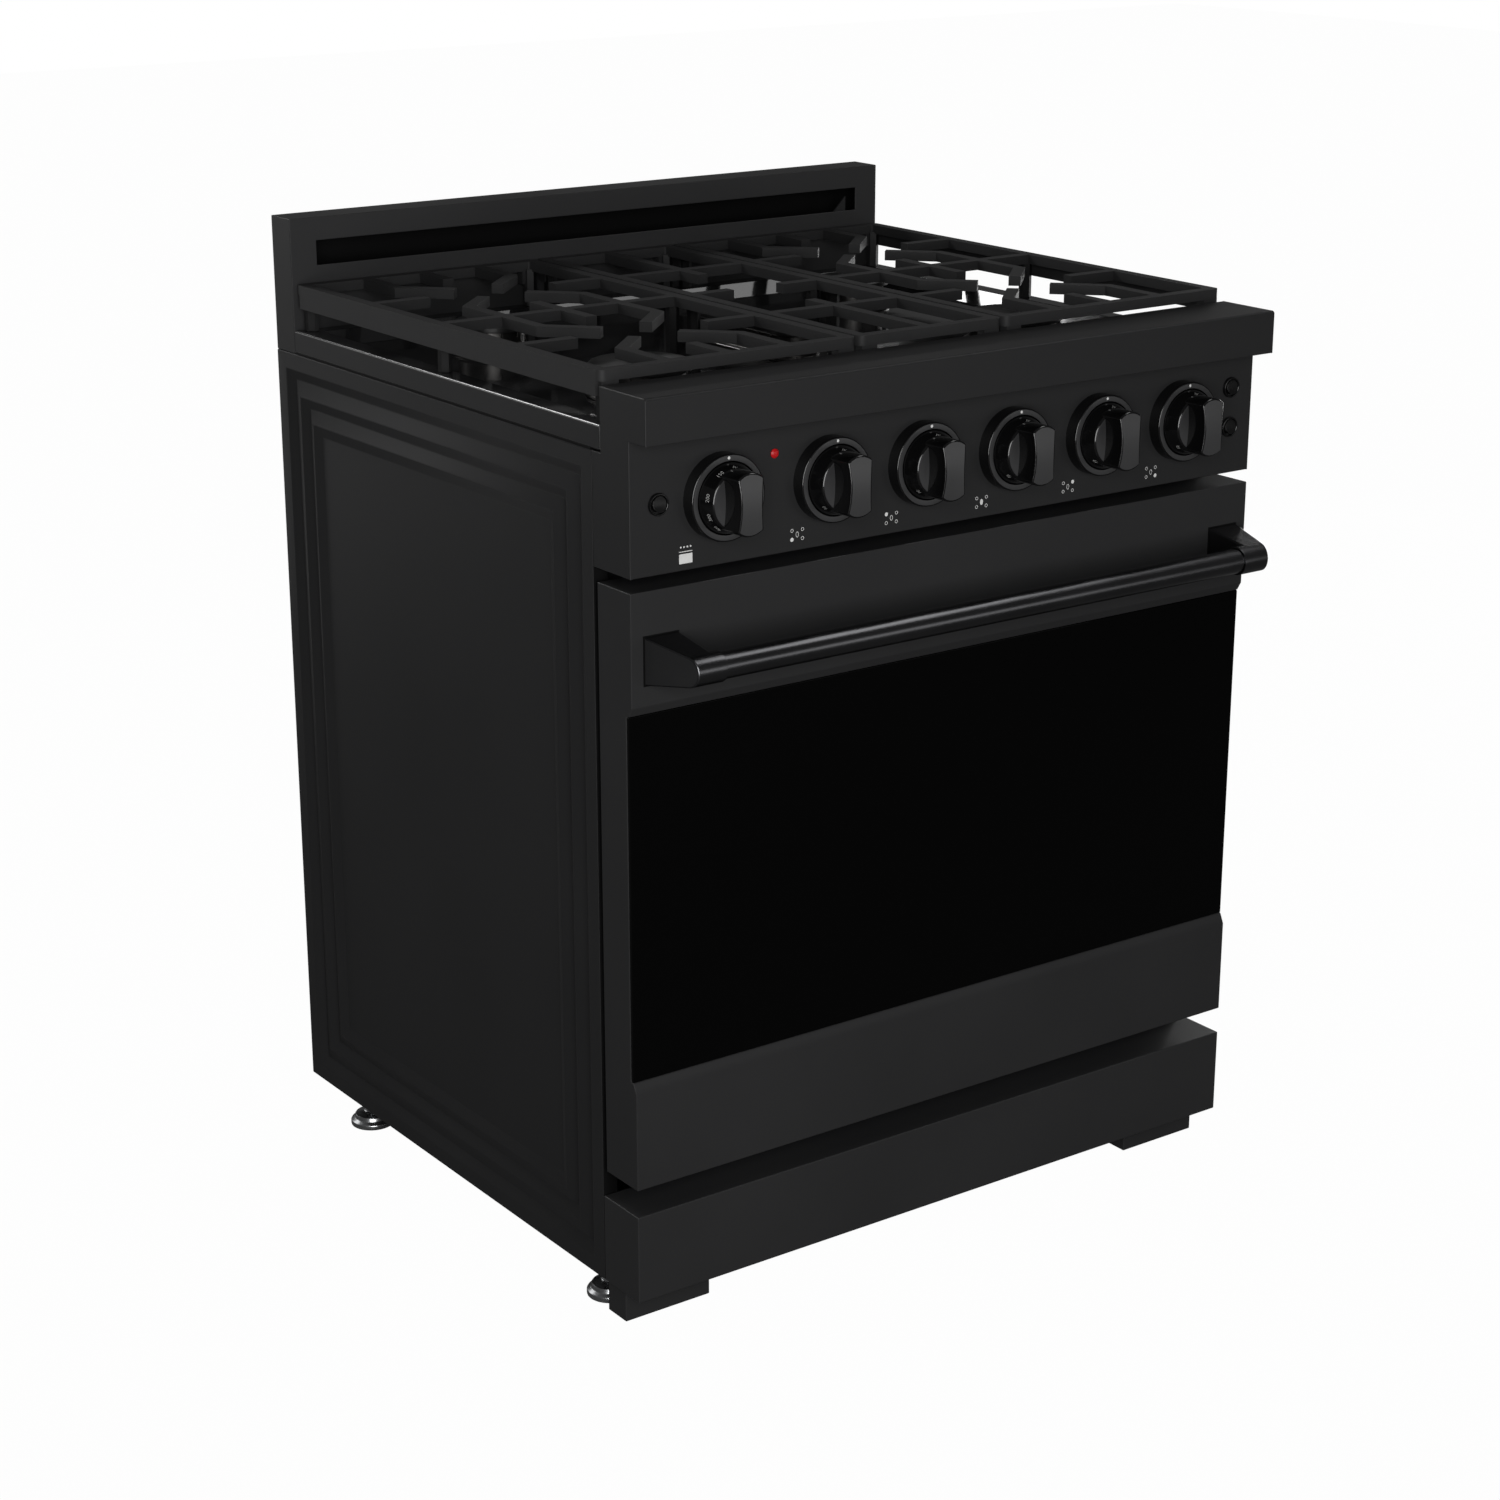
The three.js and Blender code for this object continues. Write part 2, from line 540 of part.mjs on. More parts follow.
// Knobs: a conical skirt that carries the dial, a flat shelf, and a waisted grip across the middle
// whose sides lean together towards the front.
const KNOB = {
  base: 6, skirt: 14.5, shelf: 28.8, front: 50, wide: 33, body: 27.8, root: 23,
  end: 14, waist: 12, corner: 24, crown: 29.2, lean: 2,
};

function knob() {
  const { base, skirt, shelf, front, wide, body, root, end, waist, corner, crown, lean } = KNOB;
  const cone = turned([[0, base], [wide, base], [wide, skirt], [body, shelf], [0, shelf]], 18, 'y');
  const rise = crown - corner;
  const arc = (end ** 2 + rise ** 2) / (2 * rise);
  const sweep = Math.asin(end / arc);
  const shape = new THREE.Shape();
  shape.moveTo(end, -corner);
  shape.quadraticCurveTo(2 * waist - end, 0, end, corner);
  shape.absarc(0, crown - arc, arc, Math.PI / 2 - sweep, Math.PI / 2 + sweep);
  shape.quadraticCurveTo(end - 2 * waist, 0, -end, -corner);
  shape.absarc(0, arc - crown, arc, 1.5 * Math.PI - sweep, 1.5 * Math.PI + sweep);
  const grip = new THREE.ExtrudeGeometry(shape, {
    depth: front - root - 1.5, curveSegments: 3,
    bevelEnabled: true, bevelThickness: 1.5, bevelSize: 1.2, bevelOffset: -1.2, bevelSegments: 1,
  });
  grip.rotateX(Math.PI / 2);
  grip.translate(0, -root, 0);
  const points = grip.attributes.position;
  for (let i = 0; i < points.count; i++) {
    const behind = (front + points.getY(i)) / (front - shelf);
    points.setX(i, points.getX(i) * (1 + (lean / waist) * behind));
  }
  const bore = rod(STEM.bore, [0, -base + 1, 0], [0, STEM.front - GAP, 0], 8);
  return geometryOf(cut(join(cone, solid(grip)), bore));
}

// Stems: a round shaft with a flat for the knob, pushed in against the valve's spring.
function stem() {
  const { radius, front, back } = STEM;
  const shaft = rod(radius, [0, front, 0], [0, back, 0], 12);
  return geometryOf(cut(shaft, box(-radius, radius, front - 1, front + 22, radius * 0.6, radius + 1)));
}

const knobShape = knob();
const stemShape = stem();
for (const [burner, x] of Object.entries(KNOBS)) {
  const station = new THREE.Group();
  station.position.set(x, FACE, KNOB_Z);
  controls.add(station);
  place(station, `knob_${burner}`, knobShape, glossPlastic);
  place(station, `stem_${burner}`, stemShape, zincSheet);
}

// Rocker switches: a round button dished about a level pivot, resting on its lower half.
const ROCK = 9;

function rocker() {
  const button = rod(SWITCH.opening - 0.9, [0, -5.5, 0], [0, 5, 0], 12);
  const scoop = rod(26, [-20, -29.5, 0], [20, -29.5, 0], 24);
  return geometryOf(cut(button, scoop));
}
const rockerShape = rocker();
for (const [side, [x, z]] of Object.entries(SWITCHES)) {
  const mesh = place(controls, `switch_${side}`, rockerShape, glossPlastic, [x, FACE, z]);
  mesh.rotation.x = THREE.MathUtils.degToRad(-ROCK);
}

// Gas manifold: a pipe on two brackets with a valve behind each knob, fed from the rear inlet.
function gasManifold() {
  const [pipeY, valveFace] = [-205, FACE + 30];
  const valves = Object.values(KNOBS).map((x) => {
    const body = rod(11, [x, valveFace, KNOB_Z], [x, pipeY, KNOB_Z], 8);
    const bore = rod(STEM.bore, [x, valveFace - 1, KNOB_Z], [x, FACE + STEM.back + 6, KNOB_Z], 8);
    return cut(body, bore);
  });
  const { x: gasX, z: gasZ, radius } = GAS;
  const side = gasX + 18;
  const rear = 300;
  const route = [
    [gasX, pipeY, KNOB_Z], [side, pipeY, KNOB_Z], [side, rear, KNOB_Z],
    [side, rear, gasZ], [gasX, rear, gasZ],
  ];
  const pipe = rod(10, [-300, pipeY, KNOB_Z], [gasX, pipeY, KNOB_Z], 8);
  const feed = route.slice(1).map((point, i) => rod(radius, route[i], point, 6));
  const elbows = route.slice(1).map((point) => ball(radius + 1, point, 6));
  const inlet = rod(radius, route.at(-1), [gasX, BACK - 1, gasZ], 8);
  const standing = [-220, 220].map((x) => {
    return box(x - 10, x + 10, pipeY - 2, pipeY + 2, CAVITY.top + LINER_WALL + GAP, KNOB_Z - 5);
  });
  return join(pipe, valves, feed, elbows, inlet, standing);
}
place(controls, 'gas_manifold', gasManifold(), brassPipe);

// ---------------------------------------------------------------- cooktop
const cooktop = new THREE.Group();
range.add(cooktop);

// Landing ledge: a box-section rail over the control panel, open along its hidden underside.
function landingLedge() {
  const radius = 3;
  const bottom = PANEL_TOP + GAP;
  const shape = new THREE.Shape();
  shape.moveTo(LEDGE_FRONT, bottom);
  shape.lineTo(LEDGE_BACK, bottom);
  shape.lineTo(LEDGE_BACK, LEDGE_TOP - 1);
  shape.lineTo(LEDGE_BACK - 1, LEDGE_TOP);
  shape.lineTo(LEDGE_FRONT + radius, LEDGE_TOP);
  shape.absarc(LEDGE_FRONT + radius, LEDGE_TOP - radius, radius, Math.PI / 2, Math.PI);
  shape.closePath();
  const [x0, x1] = [-HALF + SHEET, HALF - SHEET];
  const inside = box(x0, x1, LEDGE_FRONT + SHEET, LEDGE_BACK - SHEET, bottom + SHEET, LEDGE_TOP - SHEET);
  const underside = box(x0, x1, FACE + SHEET, LEDGE_BACK - SHEET, bottom - 1, bottom + SHEET + 1);
  return cut(sideways(shape, -HALF, HALF, 4), inside, underside);
}
place(cooktop, 'landing_ledge', landingLedge(), blackPaint);

// Burners: [x, y, cap radius]; the centre one is an oval, long from front to back.
const GRATE = {
  front: -239, back: 334, outer: 377, side: 90.5, centre: 86.5,
  bar: 12.5, deep: 10, skirt: 24, skirtWidth: 4, post: 7, postInset: 11,
};
const GRATE_MIDDLE = 51;
const BURNER_X = 231.75;
const BURNER_STEP = 137;
const ROUND_BURNERS = {
  front_left: [-BURNER_X, GRATE_MIDDLE - BURNER_STEP, 51],
  rear_left: [-BURNER_X, GRATE_MIDDLE + BURNER_STEP, 41],
  rear_right: [BURNER_X, GRATE_MIDDLE + BURNER_STEP, 41],
  front_right: [BURNER_X, GRATE_MIDDLE - BURNER_STEP, 51],
};
const OVAL = { y: GRATE_MIDDLE - 2, straight: 70, cap: 29 };
const THROAT = 26;

// Cooktop pan: one pressing with a raised border, sloped into a flat spill tray with a hole per burner.
function cooktopPan() {
  const front = LEDGE_BACK + GAP;
  const back = GUARD_FRONT - GAP;
  const top = [[0, SIDE_TOP + GAP], [0, RAIL_TOP - 1.5], [1.5, RAIL_TOP], [22, RAIL_TOP], [34, PAN_FLOOR]];
  const under = [
    [SHEET, SIDE_TOP + GAP], [SHEET, RAIL_TOP - SHEET],
    [22 - SHEET, RAIL_TOP - SHEET], [34 - SHEET, PAN_FLOOR - SHEET],
  ];
  const middle = (front + back) / 2;
  const sheet = pressed(WIDTH, back - front, top, under).translate([0, middle, 0]);
  const hole = (x, y) => rod(THROAT + 2, [x, y, PAN_FLOOR - 10], [x, y, PAN_FLOOR + 10], 12);
  const holes = Object.values(ROUND_BURNERS).map(([x, y]) => hole(x, y));
  return cut(sheet, holes, hole(0, OVAL.y));
}
place(cooktop, 'cooktop_pan', cooktopPan(), glossEnamel);

const HEAD_RISE = 24.5;      // from the pan floor to the cap's seat
const PORTS = 12;

function roundHead(cap) {
  const crown = cap - 6;
  const profile = [
    [0, -22], [THROAT, -22], [THROAT, GAP], [cap + 2, GAP], [cap + 2, 3], [crown, 8],
    [crown, HEAD_RISE - GAP], [crown - 8, HEAD_RISE - GAP], [crown - 8, HEAD_RISE - 10], [0, HEAD_RISE - 10],
  ];
  const ports = [];
  for (let i = 0; i < PORTS; i++) {
    const port = box(crown - 4, crown + 2, -1.1, 1.1, HEAD_RISE - 6, HEAD_RISE + 1);
    ports.push(port.rotate([0, 0, ((i + 0.5) * 360) / PORTS]));
  }
  return cut(turned(profile, 20), ports);
}

function roundCap(cap) {
  const spigot = cap - 6 - 8 - 0.6;
  return turned([
    [0, -4], [spigot, -4], [spigot, GAP], [cap, GAP], [cap, 5.5], [cap - 2.5, 7.5], [0, 9],
  ], 20);
}

function stadium(radius, straight) {
  const shape = new THREE.Shape();
  shape.absarc(0, straight, radius, 0, Math.PI);
  shape.absarc(0, -straight, radius, Math.PI, 2 * Math.PI);
  return shape;
}

function ovalHead() {
  const { straight, cap } = OVAL;
  const crown = cap - 5;
  const throat = turned([[0, -22], [THROAT, -22], [THROAT, 1], [0, 1]], 12);
  const foot = upright(stadium(cap + 4, straight), GAP, 4, 6);
  const wall = cut(
    upright(stadium(crown, straight), 3, HEAD_RISE - GAP, 6),
    upright(stadium(crown - 7, straight), HEAD_RISE - 10, HEAD_RISE + 1, 6),
  );
  const ports = [];
  for (let i = -3; i <= 3; i++) {
    const y = i * 20;
    ports.push(box(-crown - 2, crown + 2, y - 1.1, y + 1.1, HEAD_RISE - 6, HEAD_RISE + 1));
  }
  return cut(join(throat, foot, wall), ports);
}

function ovalCap() {
  const { straight, cap } = OVAL;
  const plate = new THREE.ExtrudeGeometry(stadium(cap - 1.5, straight), {
    depth: 5, bevelEnabled: true, bevelThickness: 1.5, bevelSize: 1.5, bevelSegments: 1, curveSegments: 6,
  });
  plate.translate(0, 0, GAP + 1.5);
  return join(solid(plate), upright(stadium(cap - 5 - 7 - 0.6, straight), -4, GAP + 1, 6));
}

for (const [name, [x, y, cap]] of Object.entries(ROUND_BURNERS)) {
  place(cooktop, `burner_head_${name}`, roundHead(cap), burnerAlloy, [x, y, PAN_FLOOR]);
  place(cooktop, `burner_cap_${name}`, roundCap(cap), capEnamel, [x, y, PAN_FLOOR + HEAD_RISE]);
}
place(cooktop, 'burner_head_centre', ovalHead(), burnerAlloy, [0, OVAL.y, PAN_FLOOR]);
place(cooktop, 'burner_cap_centre', ovalCap(), capEnamel, [0, OVAL.y, PAN_FLOOR + HEAD_RISE]);

// Grates: cast frames on round posts. Positions below are in the range's frame.
const BAR_BOTTOM = GRATE_TOP - GRATE.deep;

// One straight bar of a grate between two points, flat on top.
function bar([x0, y0], [x1, y1], width = GRATE.bar) {
  const length = Math.hypot(x1 - x0, y1 - y0);
  const turn = THREE.MathUtils.radToDeg(Math.atan2(y1 - y0, x1 - x0));
  const straight = box(0, length, -width / 2, width / 2, BAR_BOTTOM, GRATE_TOP);
  return straight.rotate([0, 0, turn]).translate([x0, y0, 0]);
}

function grateFrame(x0, x1) {
  const { front, back, bar: w } = GRATE;
  const rim = upright(roundedRectangle(x0, x1, front, back, 7), BAR_BOTTOM, GRATE_TOP, 3);
  const inside = roundedRectangle(x0 + w, x1 - w, front + w, back - w, 2);
  return cut(rim, upright(inside, BAR_BOTTOM - 1, GRATE_TOP + 1, 2));
}

function posts(x0, x1) {
  const { front, back, post, postInset } = GRATE;
  const floorAt = (x, y) => {
    const onBorder = Math.abs(x) > HALF - 22 || y < front + 20 || y > back - 20;
    return (onBorder ? RAIL_TOP : PAN_FLOOR) + GAP;
  };
  const feet = [];
  for (const x of [x0 + postInset, x1 - postInset]) {
    for (const y of [front + postInset, GRATE_MIDDLE, back - postInset]) {
      feet.push(rod(post, [x, y, floorAt(x, y)], [x, y, BAR_BOTTOM + 2], 6));
    }
  }
  return feet;
}

// Pads that deepen the frame's front and back bars at their corners.
function cornerPads(x0, x1) {
  const { front, back, bar: w, skirt } = GRATE;
  const pads = [];
  for (const x of [x0 + 3, x1 - 21]) {
    pads.push(box(x, x + 18, front + 1, front + w - 1, GRATE_TOP - skirt, BAR_BOTTOM + 1));
    pads.push(box(x, x + 18, back - w + 1, back - 1, GRATE_TOP - skirt, BAR_BOTTOM + 1));
  }
  return pads;
}

// Fingers end at these distances from their burner's centre; spread sets the dog-legs beside it.
const FINGER = { cross: 73.75, straight: 85, spread: 67, knee: 70, tip: 28 };

// A finger that leaves its bar square and turns 45 degrees towards the burner, mitred at the knee.
function dogleg(x, edge, burner, hand) {
  const inward = Math.sign(burner - edge);
  const run = Math.abs(burner - edge) - FINGER.knee;
  const bend = FINGER.knee - FINGER.tip;
  const half = GRATE.bar / 2;
  const mitre = half * Math.tan(Math.PI / 8);
  const slant = half * Math.SQRT1_2;
  const tip = [-bend, run + bend];
  const outline = [
    [half, 0], [half, run + mitre], [tip[0] + slant, tip[1] + slant],
    [tip[0] - slant, tip[1] - slant], [-half, run - mitre], [-half, 0],
  ].map(([dx, dy]) => new THREE.Vector2(x + hand * dx, edge + inward * dy));
  return upright(new THREE.Shape(outline), BAR_BOTTOM, GRATE_TOP);
}

// Side grate: a crossbar, and eight fingers round each burner, four straight and four dog-legged.
function sideGrate(sign) {
  const { front, back, bar: w, skirt, skirtWidth, outer, side } = GRATE;
  const [x0, x1] = sign > 0 ? [side, outer] : [-outer, -side];
  const centre = sign * BURNER_X;
  const bars = [bar([x0 + 1, GRATE_MIDDLE], [x1 - 1, GRATE_MIDDLE])];
  for (const [burner, edges] of [
    [GRATE_MIDDLE - BURNER_STEP, [front + w - 1, GRATE_MIDDLE - w / 2 + 1]],
    [GRATE_MIDDLE + BURNER_STEP, [GRATE_MIDDLE + w / 2 - 1, back - w + 1]],
  ]) {
    bars.push(bar([x0 + 1, burner], [centre - FINGER.cross, burner]));
    bars.push(bar([centre + FINGER.cross, burner], [x1 - 1, burner]));
    for (const edge of edges) {
      const reach = burner - Math.sign(burner - edge) * FINGER.straight;
      bars.push(bar([centre, edge], [centre, reach]));
      for (const hand of [-1, 1]) bars.push(dogleg(centre + hand * FINGER.spread, edge, burner, hand));
    }
  }
  const edge = sign * outer;
  const [s0, s1] = [edge, edge - sign * skirtWidth].sort((a, b) => a - b);
  const sideSkirt = box(s0, s1, front + 7, back - 7, GRATE_TOP - skirt, BAR_BOTTOM + 1);
  return join(grateFrame(x0, x1), bars, sideSkirt, cornerPads(x0, x1), posts(x0, x1));
}

// Centre grate: two crossbars with stubs and spines on the middle line, and a finger from each side.
function centreGrate() {
  const { front, back, bar: w, centre } = GRATE;
  const bars = [];
  for (const [edge, inward] of [[front + w - 1, 1], [back - w + 1, -1]]) {
    const cross = OVAL.y - inward * BURNER_STEP + inward * 3;
    bars.push(bar([-centre + 1, cross], [centre - 1, cross]));
    bars.push(bar([0, edge], [0, cross + inward * 40]));
  }
  for (const sign of [-1, 1]) bars.push(bar([sign * (centre - 1), OVAL.y], [sign * 31, OVAL.y]));
  return join(grateFrame(-centre, centre), bars, cornerPads(-centre, centre), posts(-centre, centre));
}
place(cooktop, 'grate_left', sideGrate(-1), castIron);
place(cooktop, 'grate_centre', centreGrate(), castIron);
place(cooktop, 'grate_right', sideGrate(1), castIron);

// Backguard: the oven's flue box, open below, with a long outlet slot facing the cook.
const SLOT = { half: 350, bottom: 949.6, top: 975 };

function backguard() {
  const shell = foldedBox([-HALF, HALF], [GUARD_FRONT, BACK], [SIDE_TOP + GAP, TOTAL_HEIGHT], '-z');
  const slot = box(-SLOT.half, SLOT.half, GUARD_FRONT - 1, GUARD_FRONT + SHEET + 1, SLOT.bottom, SLOT.top);
  return cut(shell, slot);
}
place(cooktop, 'backguard', backguard(), blackPaint);

// The origin lies half way between the rear face and the handle's nose.
range.position.y = (BRACKET.nose - BAR.y - BACK) / 2;

export default range;
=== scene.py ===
"""Looks of a freestanding gas range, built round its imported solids. Metres, +Z up, the front faces -Y."""
import math

import bmesh
import bpy
from mathutils import Matrix, Vector


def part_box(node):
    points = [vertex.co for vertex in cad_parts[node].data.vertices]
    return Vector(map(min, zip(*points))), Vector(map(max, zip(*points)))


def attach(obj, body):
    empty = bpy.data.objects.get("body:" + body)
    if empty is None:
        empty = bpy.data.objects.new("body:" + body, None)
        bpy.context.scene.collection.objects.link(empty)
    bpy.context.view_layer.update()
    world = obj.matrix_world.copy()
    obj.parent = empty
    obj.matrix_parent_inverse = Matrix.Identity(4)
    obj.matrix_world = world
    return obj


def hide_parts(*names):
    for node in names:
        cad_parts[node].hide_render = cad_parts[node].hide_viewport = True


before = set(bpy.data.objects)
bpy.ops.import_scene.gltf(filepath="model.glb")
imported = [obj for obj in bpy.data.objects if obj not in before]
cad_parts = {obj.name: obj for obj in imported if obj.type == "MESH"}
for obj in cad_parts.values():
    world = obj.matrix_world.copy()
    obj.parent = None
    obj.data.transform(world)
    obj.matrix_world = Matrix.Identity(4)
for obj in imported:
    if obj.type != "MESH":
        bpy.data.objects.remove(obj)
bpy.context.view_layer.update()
scene = bpy.context.scene
scene.view_settings.view_transform = "Standard"

# ---------------------------------------------------------------- studio
# A product studio: a pale floor running out into a white room, one broad key light from the front
# left, and weaker lights overhead, low in front, behind and at the right. The camera stands at the
# front left, above the cooktop. White is only what the camera sees: other rays meet a darker room.
WHITE = (1, 1, 1, 1)
LENS, SENSOR = 71.96, 36  # mm
CAMERA_PLACE = (-1.7943, -2.4494, 1.4373)
CAMERA_PITCH, CAMERA_HEADING = -18.14, -35.71  # degrees
ROOM_FILL = 0.08  # strength of the room for all that the camera doesn't see
FLOOR_HALF, FLOOR_TONE, FLOOR_SEEN_WHITE = 12, 0.14, 0.985

camera = bpy.data.objects.new("camera", bpy.data.cameras.new("camera"))
camera.data.lens = LENS
camera.data.sensor_width = SENSOR
camera.location = CAMERA_PLACE
camera.rotation_euler = (math.radians(90 + CAMERA_PITCH), 0, math.radians(CAMERA_HEADING))
scene.collection.objects.link(camera)
scene.camera = camera


def seen_apart(tree, hidden, shown, share, output):
    """Gives the camera's rays one shader, up to a share, and every other ray another."""
    ray = tree.nodes.new("ShaderNodeLightPath")
    scale = tree.nodes.new("ShaderNodeMath")
    scale.operation = "MULTIPLY"
    scale.inputs[1].default_value = share
    pick = tree.nodes.new("ShaderNodeMixShader")
    tree.links.new(ray.outputs["Is Camera Ray"], scale.inputs[0])
    tree.links.new(scale.outputs[0], pick.inputs[0])
    tree.links.new(hidden.outputs[0], pick.inputs[1])
    tree.links.new(shown.outputs[0], pick.inputs[2])
    tree.links.new(pick.outputs[0], tree.nodes.new(output).inputs["Surface"])


room = bpy.data.worlds.new("white_room")
room.use_nodes = True
room.node_tree.nodes.clear()
dim = room.node_tree.nodes.new("ShaderNodeBackground")
dim.inputs["Color"].default_value = WHITE
dim.inputs["Strength"].default_value = ROOM_FILL
white = room.node_tree.nodes.new("ShaderNodeBackground")
white.inputs["Color"].default_value = WHITE
white.inputs["Strength"].default_value = 1.0
seen_apart(room.node_tree, dim, white, 1.0, "ShaderNodeOutputWorld")
scene.world = room

floor_mesh = bmesh.new()
bmesh.ops.create_grid(floor_mesh, x_segments=1, y_segments=1, size=FLOOR_HALF)
floor_data = bpy.data.meshes.new("floor")
floor_mesh.to_mesh(floor_data)
floor_mesh.free()
floor = bpy.data.objects.new("floor", floor_data)
scene.collection.objects.link(floor)
paper = bpy.data.materials.new("studio_paper")
paper.use_nodes = True
paper.node_tree.nodes.clear()
matt = paper.node_tree.nodes.new("ShaderNodeBsdfDiffuse")
matt.inputs["Color"].default_value = (FLOOR_TONE, FLOOR_TONE, FLOOR_TONE, 1)
glow = paper.node_tree.nodes.new("ShaderNodeEmission")
glow.inputs["Strength"].default_value = 1.0
seen_apart(paper.node_tree, matt, glow, FLOOR_SEEN_WHITE, "ShaderNodeOutputMaterial")
floor_data.materials.append(paper)


def softbox(name, place, aim, size, power):
    """A soft rectangular light, unseen by the camera, turned towards a point. Sizes in metres, power in watts."""
    light = bpy.data.lights.new(name, "AREA")
    light.shape = "RECTANGLE"
    light.size, light.size_y = size
    light.energy = power
    lamp = bpy.data.objects.new(name, light)
    lamp.location = place
    lamp.visible_camera = False
    lamp.rotation_euler = (Vector(aim) - Vector(place)).to_track_quat("-Z", "Y").to_euler()
    scene.collection.objects.link(lamp)


softbox("key_light", (-1.85, -2.95, 1.20), (0, -0.3, 0.55), (2.0, 2.2), 96)
softbox("overhead_light", (1.56, -0.69, 3.0), (0, -0.35, 0.68), (1.6, 0.6), 9)
softbox("rear_left_light", (-1.6, 1.9, 1.3), (-0.38, 0, 0.7), (1.0, 1.2), 7.5)
softbox("rear_low_light", (-1.0, 2.3, 0.27), (-0.38, 0, 0.5), (0.5, 0.4), 0.55)
softbox("rear_top_light", (-0.9, 2.4, 2.6), (-0.2, 0, 0.9), (0.8, 0.5), 26)
softbox("right_side_light", (3.0, 1.0, 0.9), (0.38, 0.05, 0.5), (1.4, 1.4), 38)
softbox("low_light", (1.7, -3.7, 0.68), (0, -0.3, 0.6), (2.2, 1.1), 9)
# Narrow strips in one slanting row behind the range, for the small glints in the cooktop pan.
STRIPS = {"rear_strip_left": 1.8, "rear_strip_middle": 2.4, "rear_strip_right": 3.0}
STRIP_ROW, STRIP_SLOPE, STRIP_HEIGHT = 5.2, 0.57, 1.87
STRIP_AIM, STRIP_SIZE, STRIP_POWER = (0, 0.05, 0.87), (0.3, 0.06), 0.25
for name, x in STRIPS.items():
    softbox(name, (x, STRIP_ROW - x * STRIP_SLOPE, STRIP_HEIGHT), STRIP_AIM, STRIP_SIZE, STRIP_POWER)

# ---------------------------------------------------------------- pressed side panels
# One sheet of black powder-coated steel each side: a plain border, three troughs and two ridges
# mitred at the corners, and a flat field. Its front, top and bottom edges fold inwards, and the
# front fold, which faces the gap beside the door, is near black as painted shade in that gap.


def grain_group():
    """Fine grain and slow clouding shared by every finish."""
    tree = bpy.data.node_groups.new("surface_grain", "ShaderNodeTree")
    for name, kind, value in [
        ("Tone", "NodeSocketColor", (0.02, 0.02, 0.02, 1)),
        ("Shade", "NodeSocketFloat", 0.8),
        ("Roughness", "NodeSocketFloat", 0.4),
        ("Spread", "NodeSocketFloat", 0.05),
        ("Grain", "NodeSocketFloat", 900.0),
        ("Cloud", "NodeSocketFloat", 6.0),
    ]:
        tree.interface.new_socket(name, in_out="INPUT", socket_type=kind).default_value = value
    for name, kind in [
        ("Colour", "NodeSocketColor"),
        ("Roughness", "NodeSocketFloat"),
        ("Height", "NodeSocketFloat"),
    ]:
        tree.interface.new_socket(name, in_out="OUTPUT", socket_type=kind)
    made, join = tree.nodes, tree.links
    given, result = made.new("NodeGroupInput"), made.new("NodeGroupOutput")
    place = made.new("ShaderNodeTexCoord")
    fine, slow = made.new("ShaderNodeTexNoise"), made.new("ShaderNodeTexNoise")
    fine.inputs["Detail"].default_value = 2
    slow.inputs["Detail"].default_value = 3
    join.new(place.outputs["Object"], fine.inputs["Vector"])
    join.new(place.outputs["Object"], slow.inputs["Vector"])
    join.new(given.outputs["Grain"], fine.inputs["Scale"])
    join.new(given.outputs["Cloud"], slow.inputs["Scale"])
    darker = made.new("ShaderNodeVectorMath")
    darker.operation = "SCALE"
    join.new(given.outputs["Tone"], darker.inputs[0])
    join.new(given.outputs["Shade"], darker.inputs["Scale"])
    mixed = made.new("ShaderNodeMix")
    mixed.data_type = "RGBA"
    join.new(slow.outputs["Fac"], mixed.inputs["Factor"])
    join.new(darker.outputs[0], mixed.inputs["A"])
    join.new(given.outputs["Tone"], mixed.inputs["B"])
    join.new(mixed.outputs["Result"], result.inputs["Colour"])
    centred = made.new("ShaderNodeMath")
    centred.operation = "SUBTRACT"
    centred.inputs[1].default_value = 0.5
    join.new(slow.outputs["Fac"], centred.inputs[0])
    rough = made.new("ShaderNodeMath")
    rough.operation = "MULTIPLY_ADD"
    join.new(centred.outputs[0], rough.inputs[0])
    join.new(given.outputs["Spread"], rough.inputs[1])
    join.new(given.outputs["Roughness"], rough.inputs[2])
    join.new(rough.outputs[0], result.inputs["Roughness"])
    join.new(fine.outputs["Fac"], result.inputs["Height"])
    return tree


surface_grain = grain_group()


def finish(name, tone, roughness, metallic=0.0, specular=0.5, spread=0.08, shade=0.75, grain=900.0, cloud=6.0,
           bump=0.05, depth=0.0002):
    """A finish with grain in its colour, gloss and relief. Shade is the tone's share where the clouding is darkest."""
    material = bpy.data.materials.new(name)
    material.use_nodes = True
    made, join = material.node_tree.nodes, material.node_tree.links
    shader = made["Principled BSDF"]
    shader.inputs["Metallic"].default_value = metallic
    shader.inputs["Specular IOR Level"].default_value = specular
    texture = made.new("ShaderNodeGroup")
    texture.node_tree = surface_grain
    texture.inputs["Tone"].default_value = (*tone, 1)
    texture.inputs["Shade"].default_value = shade
    texture.inputs["Roughness"].default_value = roughness
    texture.inputs["Spread"].default_value = spread
    texture.inputs["Grain"].default_value = grain
    texture.inputs["Cloud"].default_value = cloud
    relief = made.new("ShaderNodeBump")
    relief.inputs["Strength"].default_value = bump
    relief.inputs["Distance"].default_value = depth
    join.new(texture.outputs["Colour"], shader.inputs["Base Color"])
    join.new(texture.outputs["Roughness"], shader.inputs["Roughness"])
    join.new(texture.outputs["Height"], relief.inputs["Height"])
    join.new(relief.outputs["Normal"], shader.inputs["Normal"])
    return material


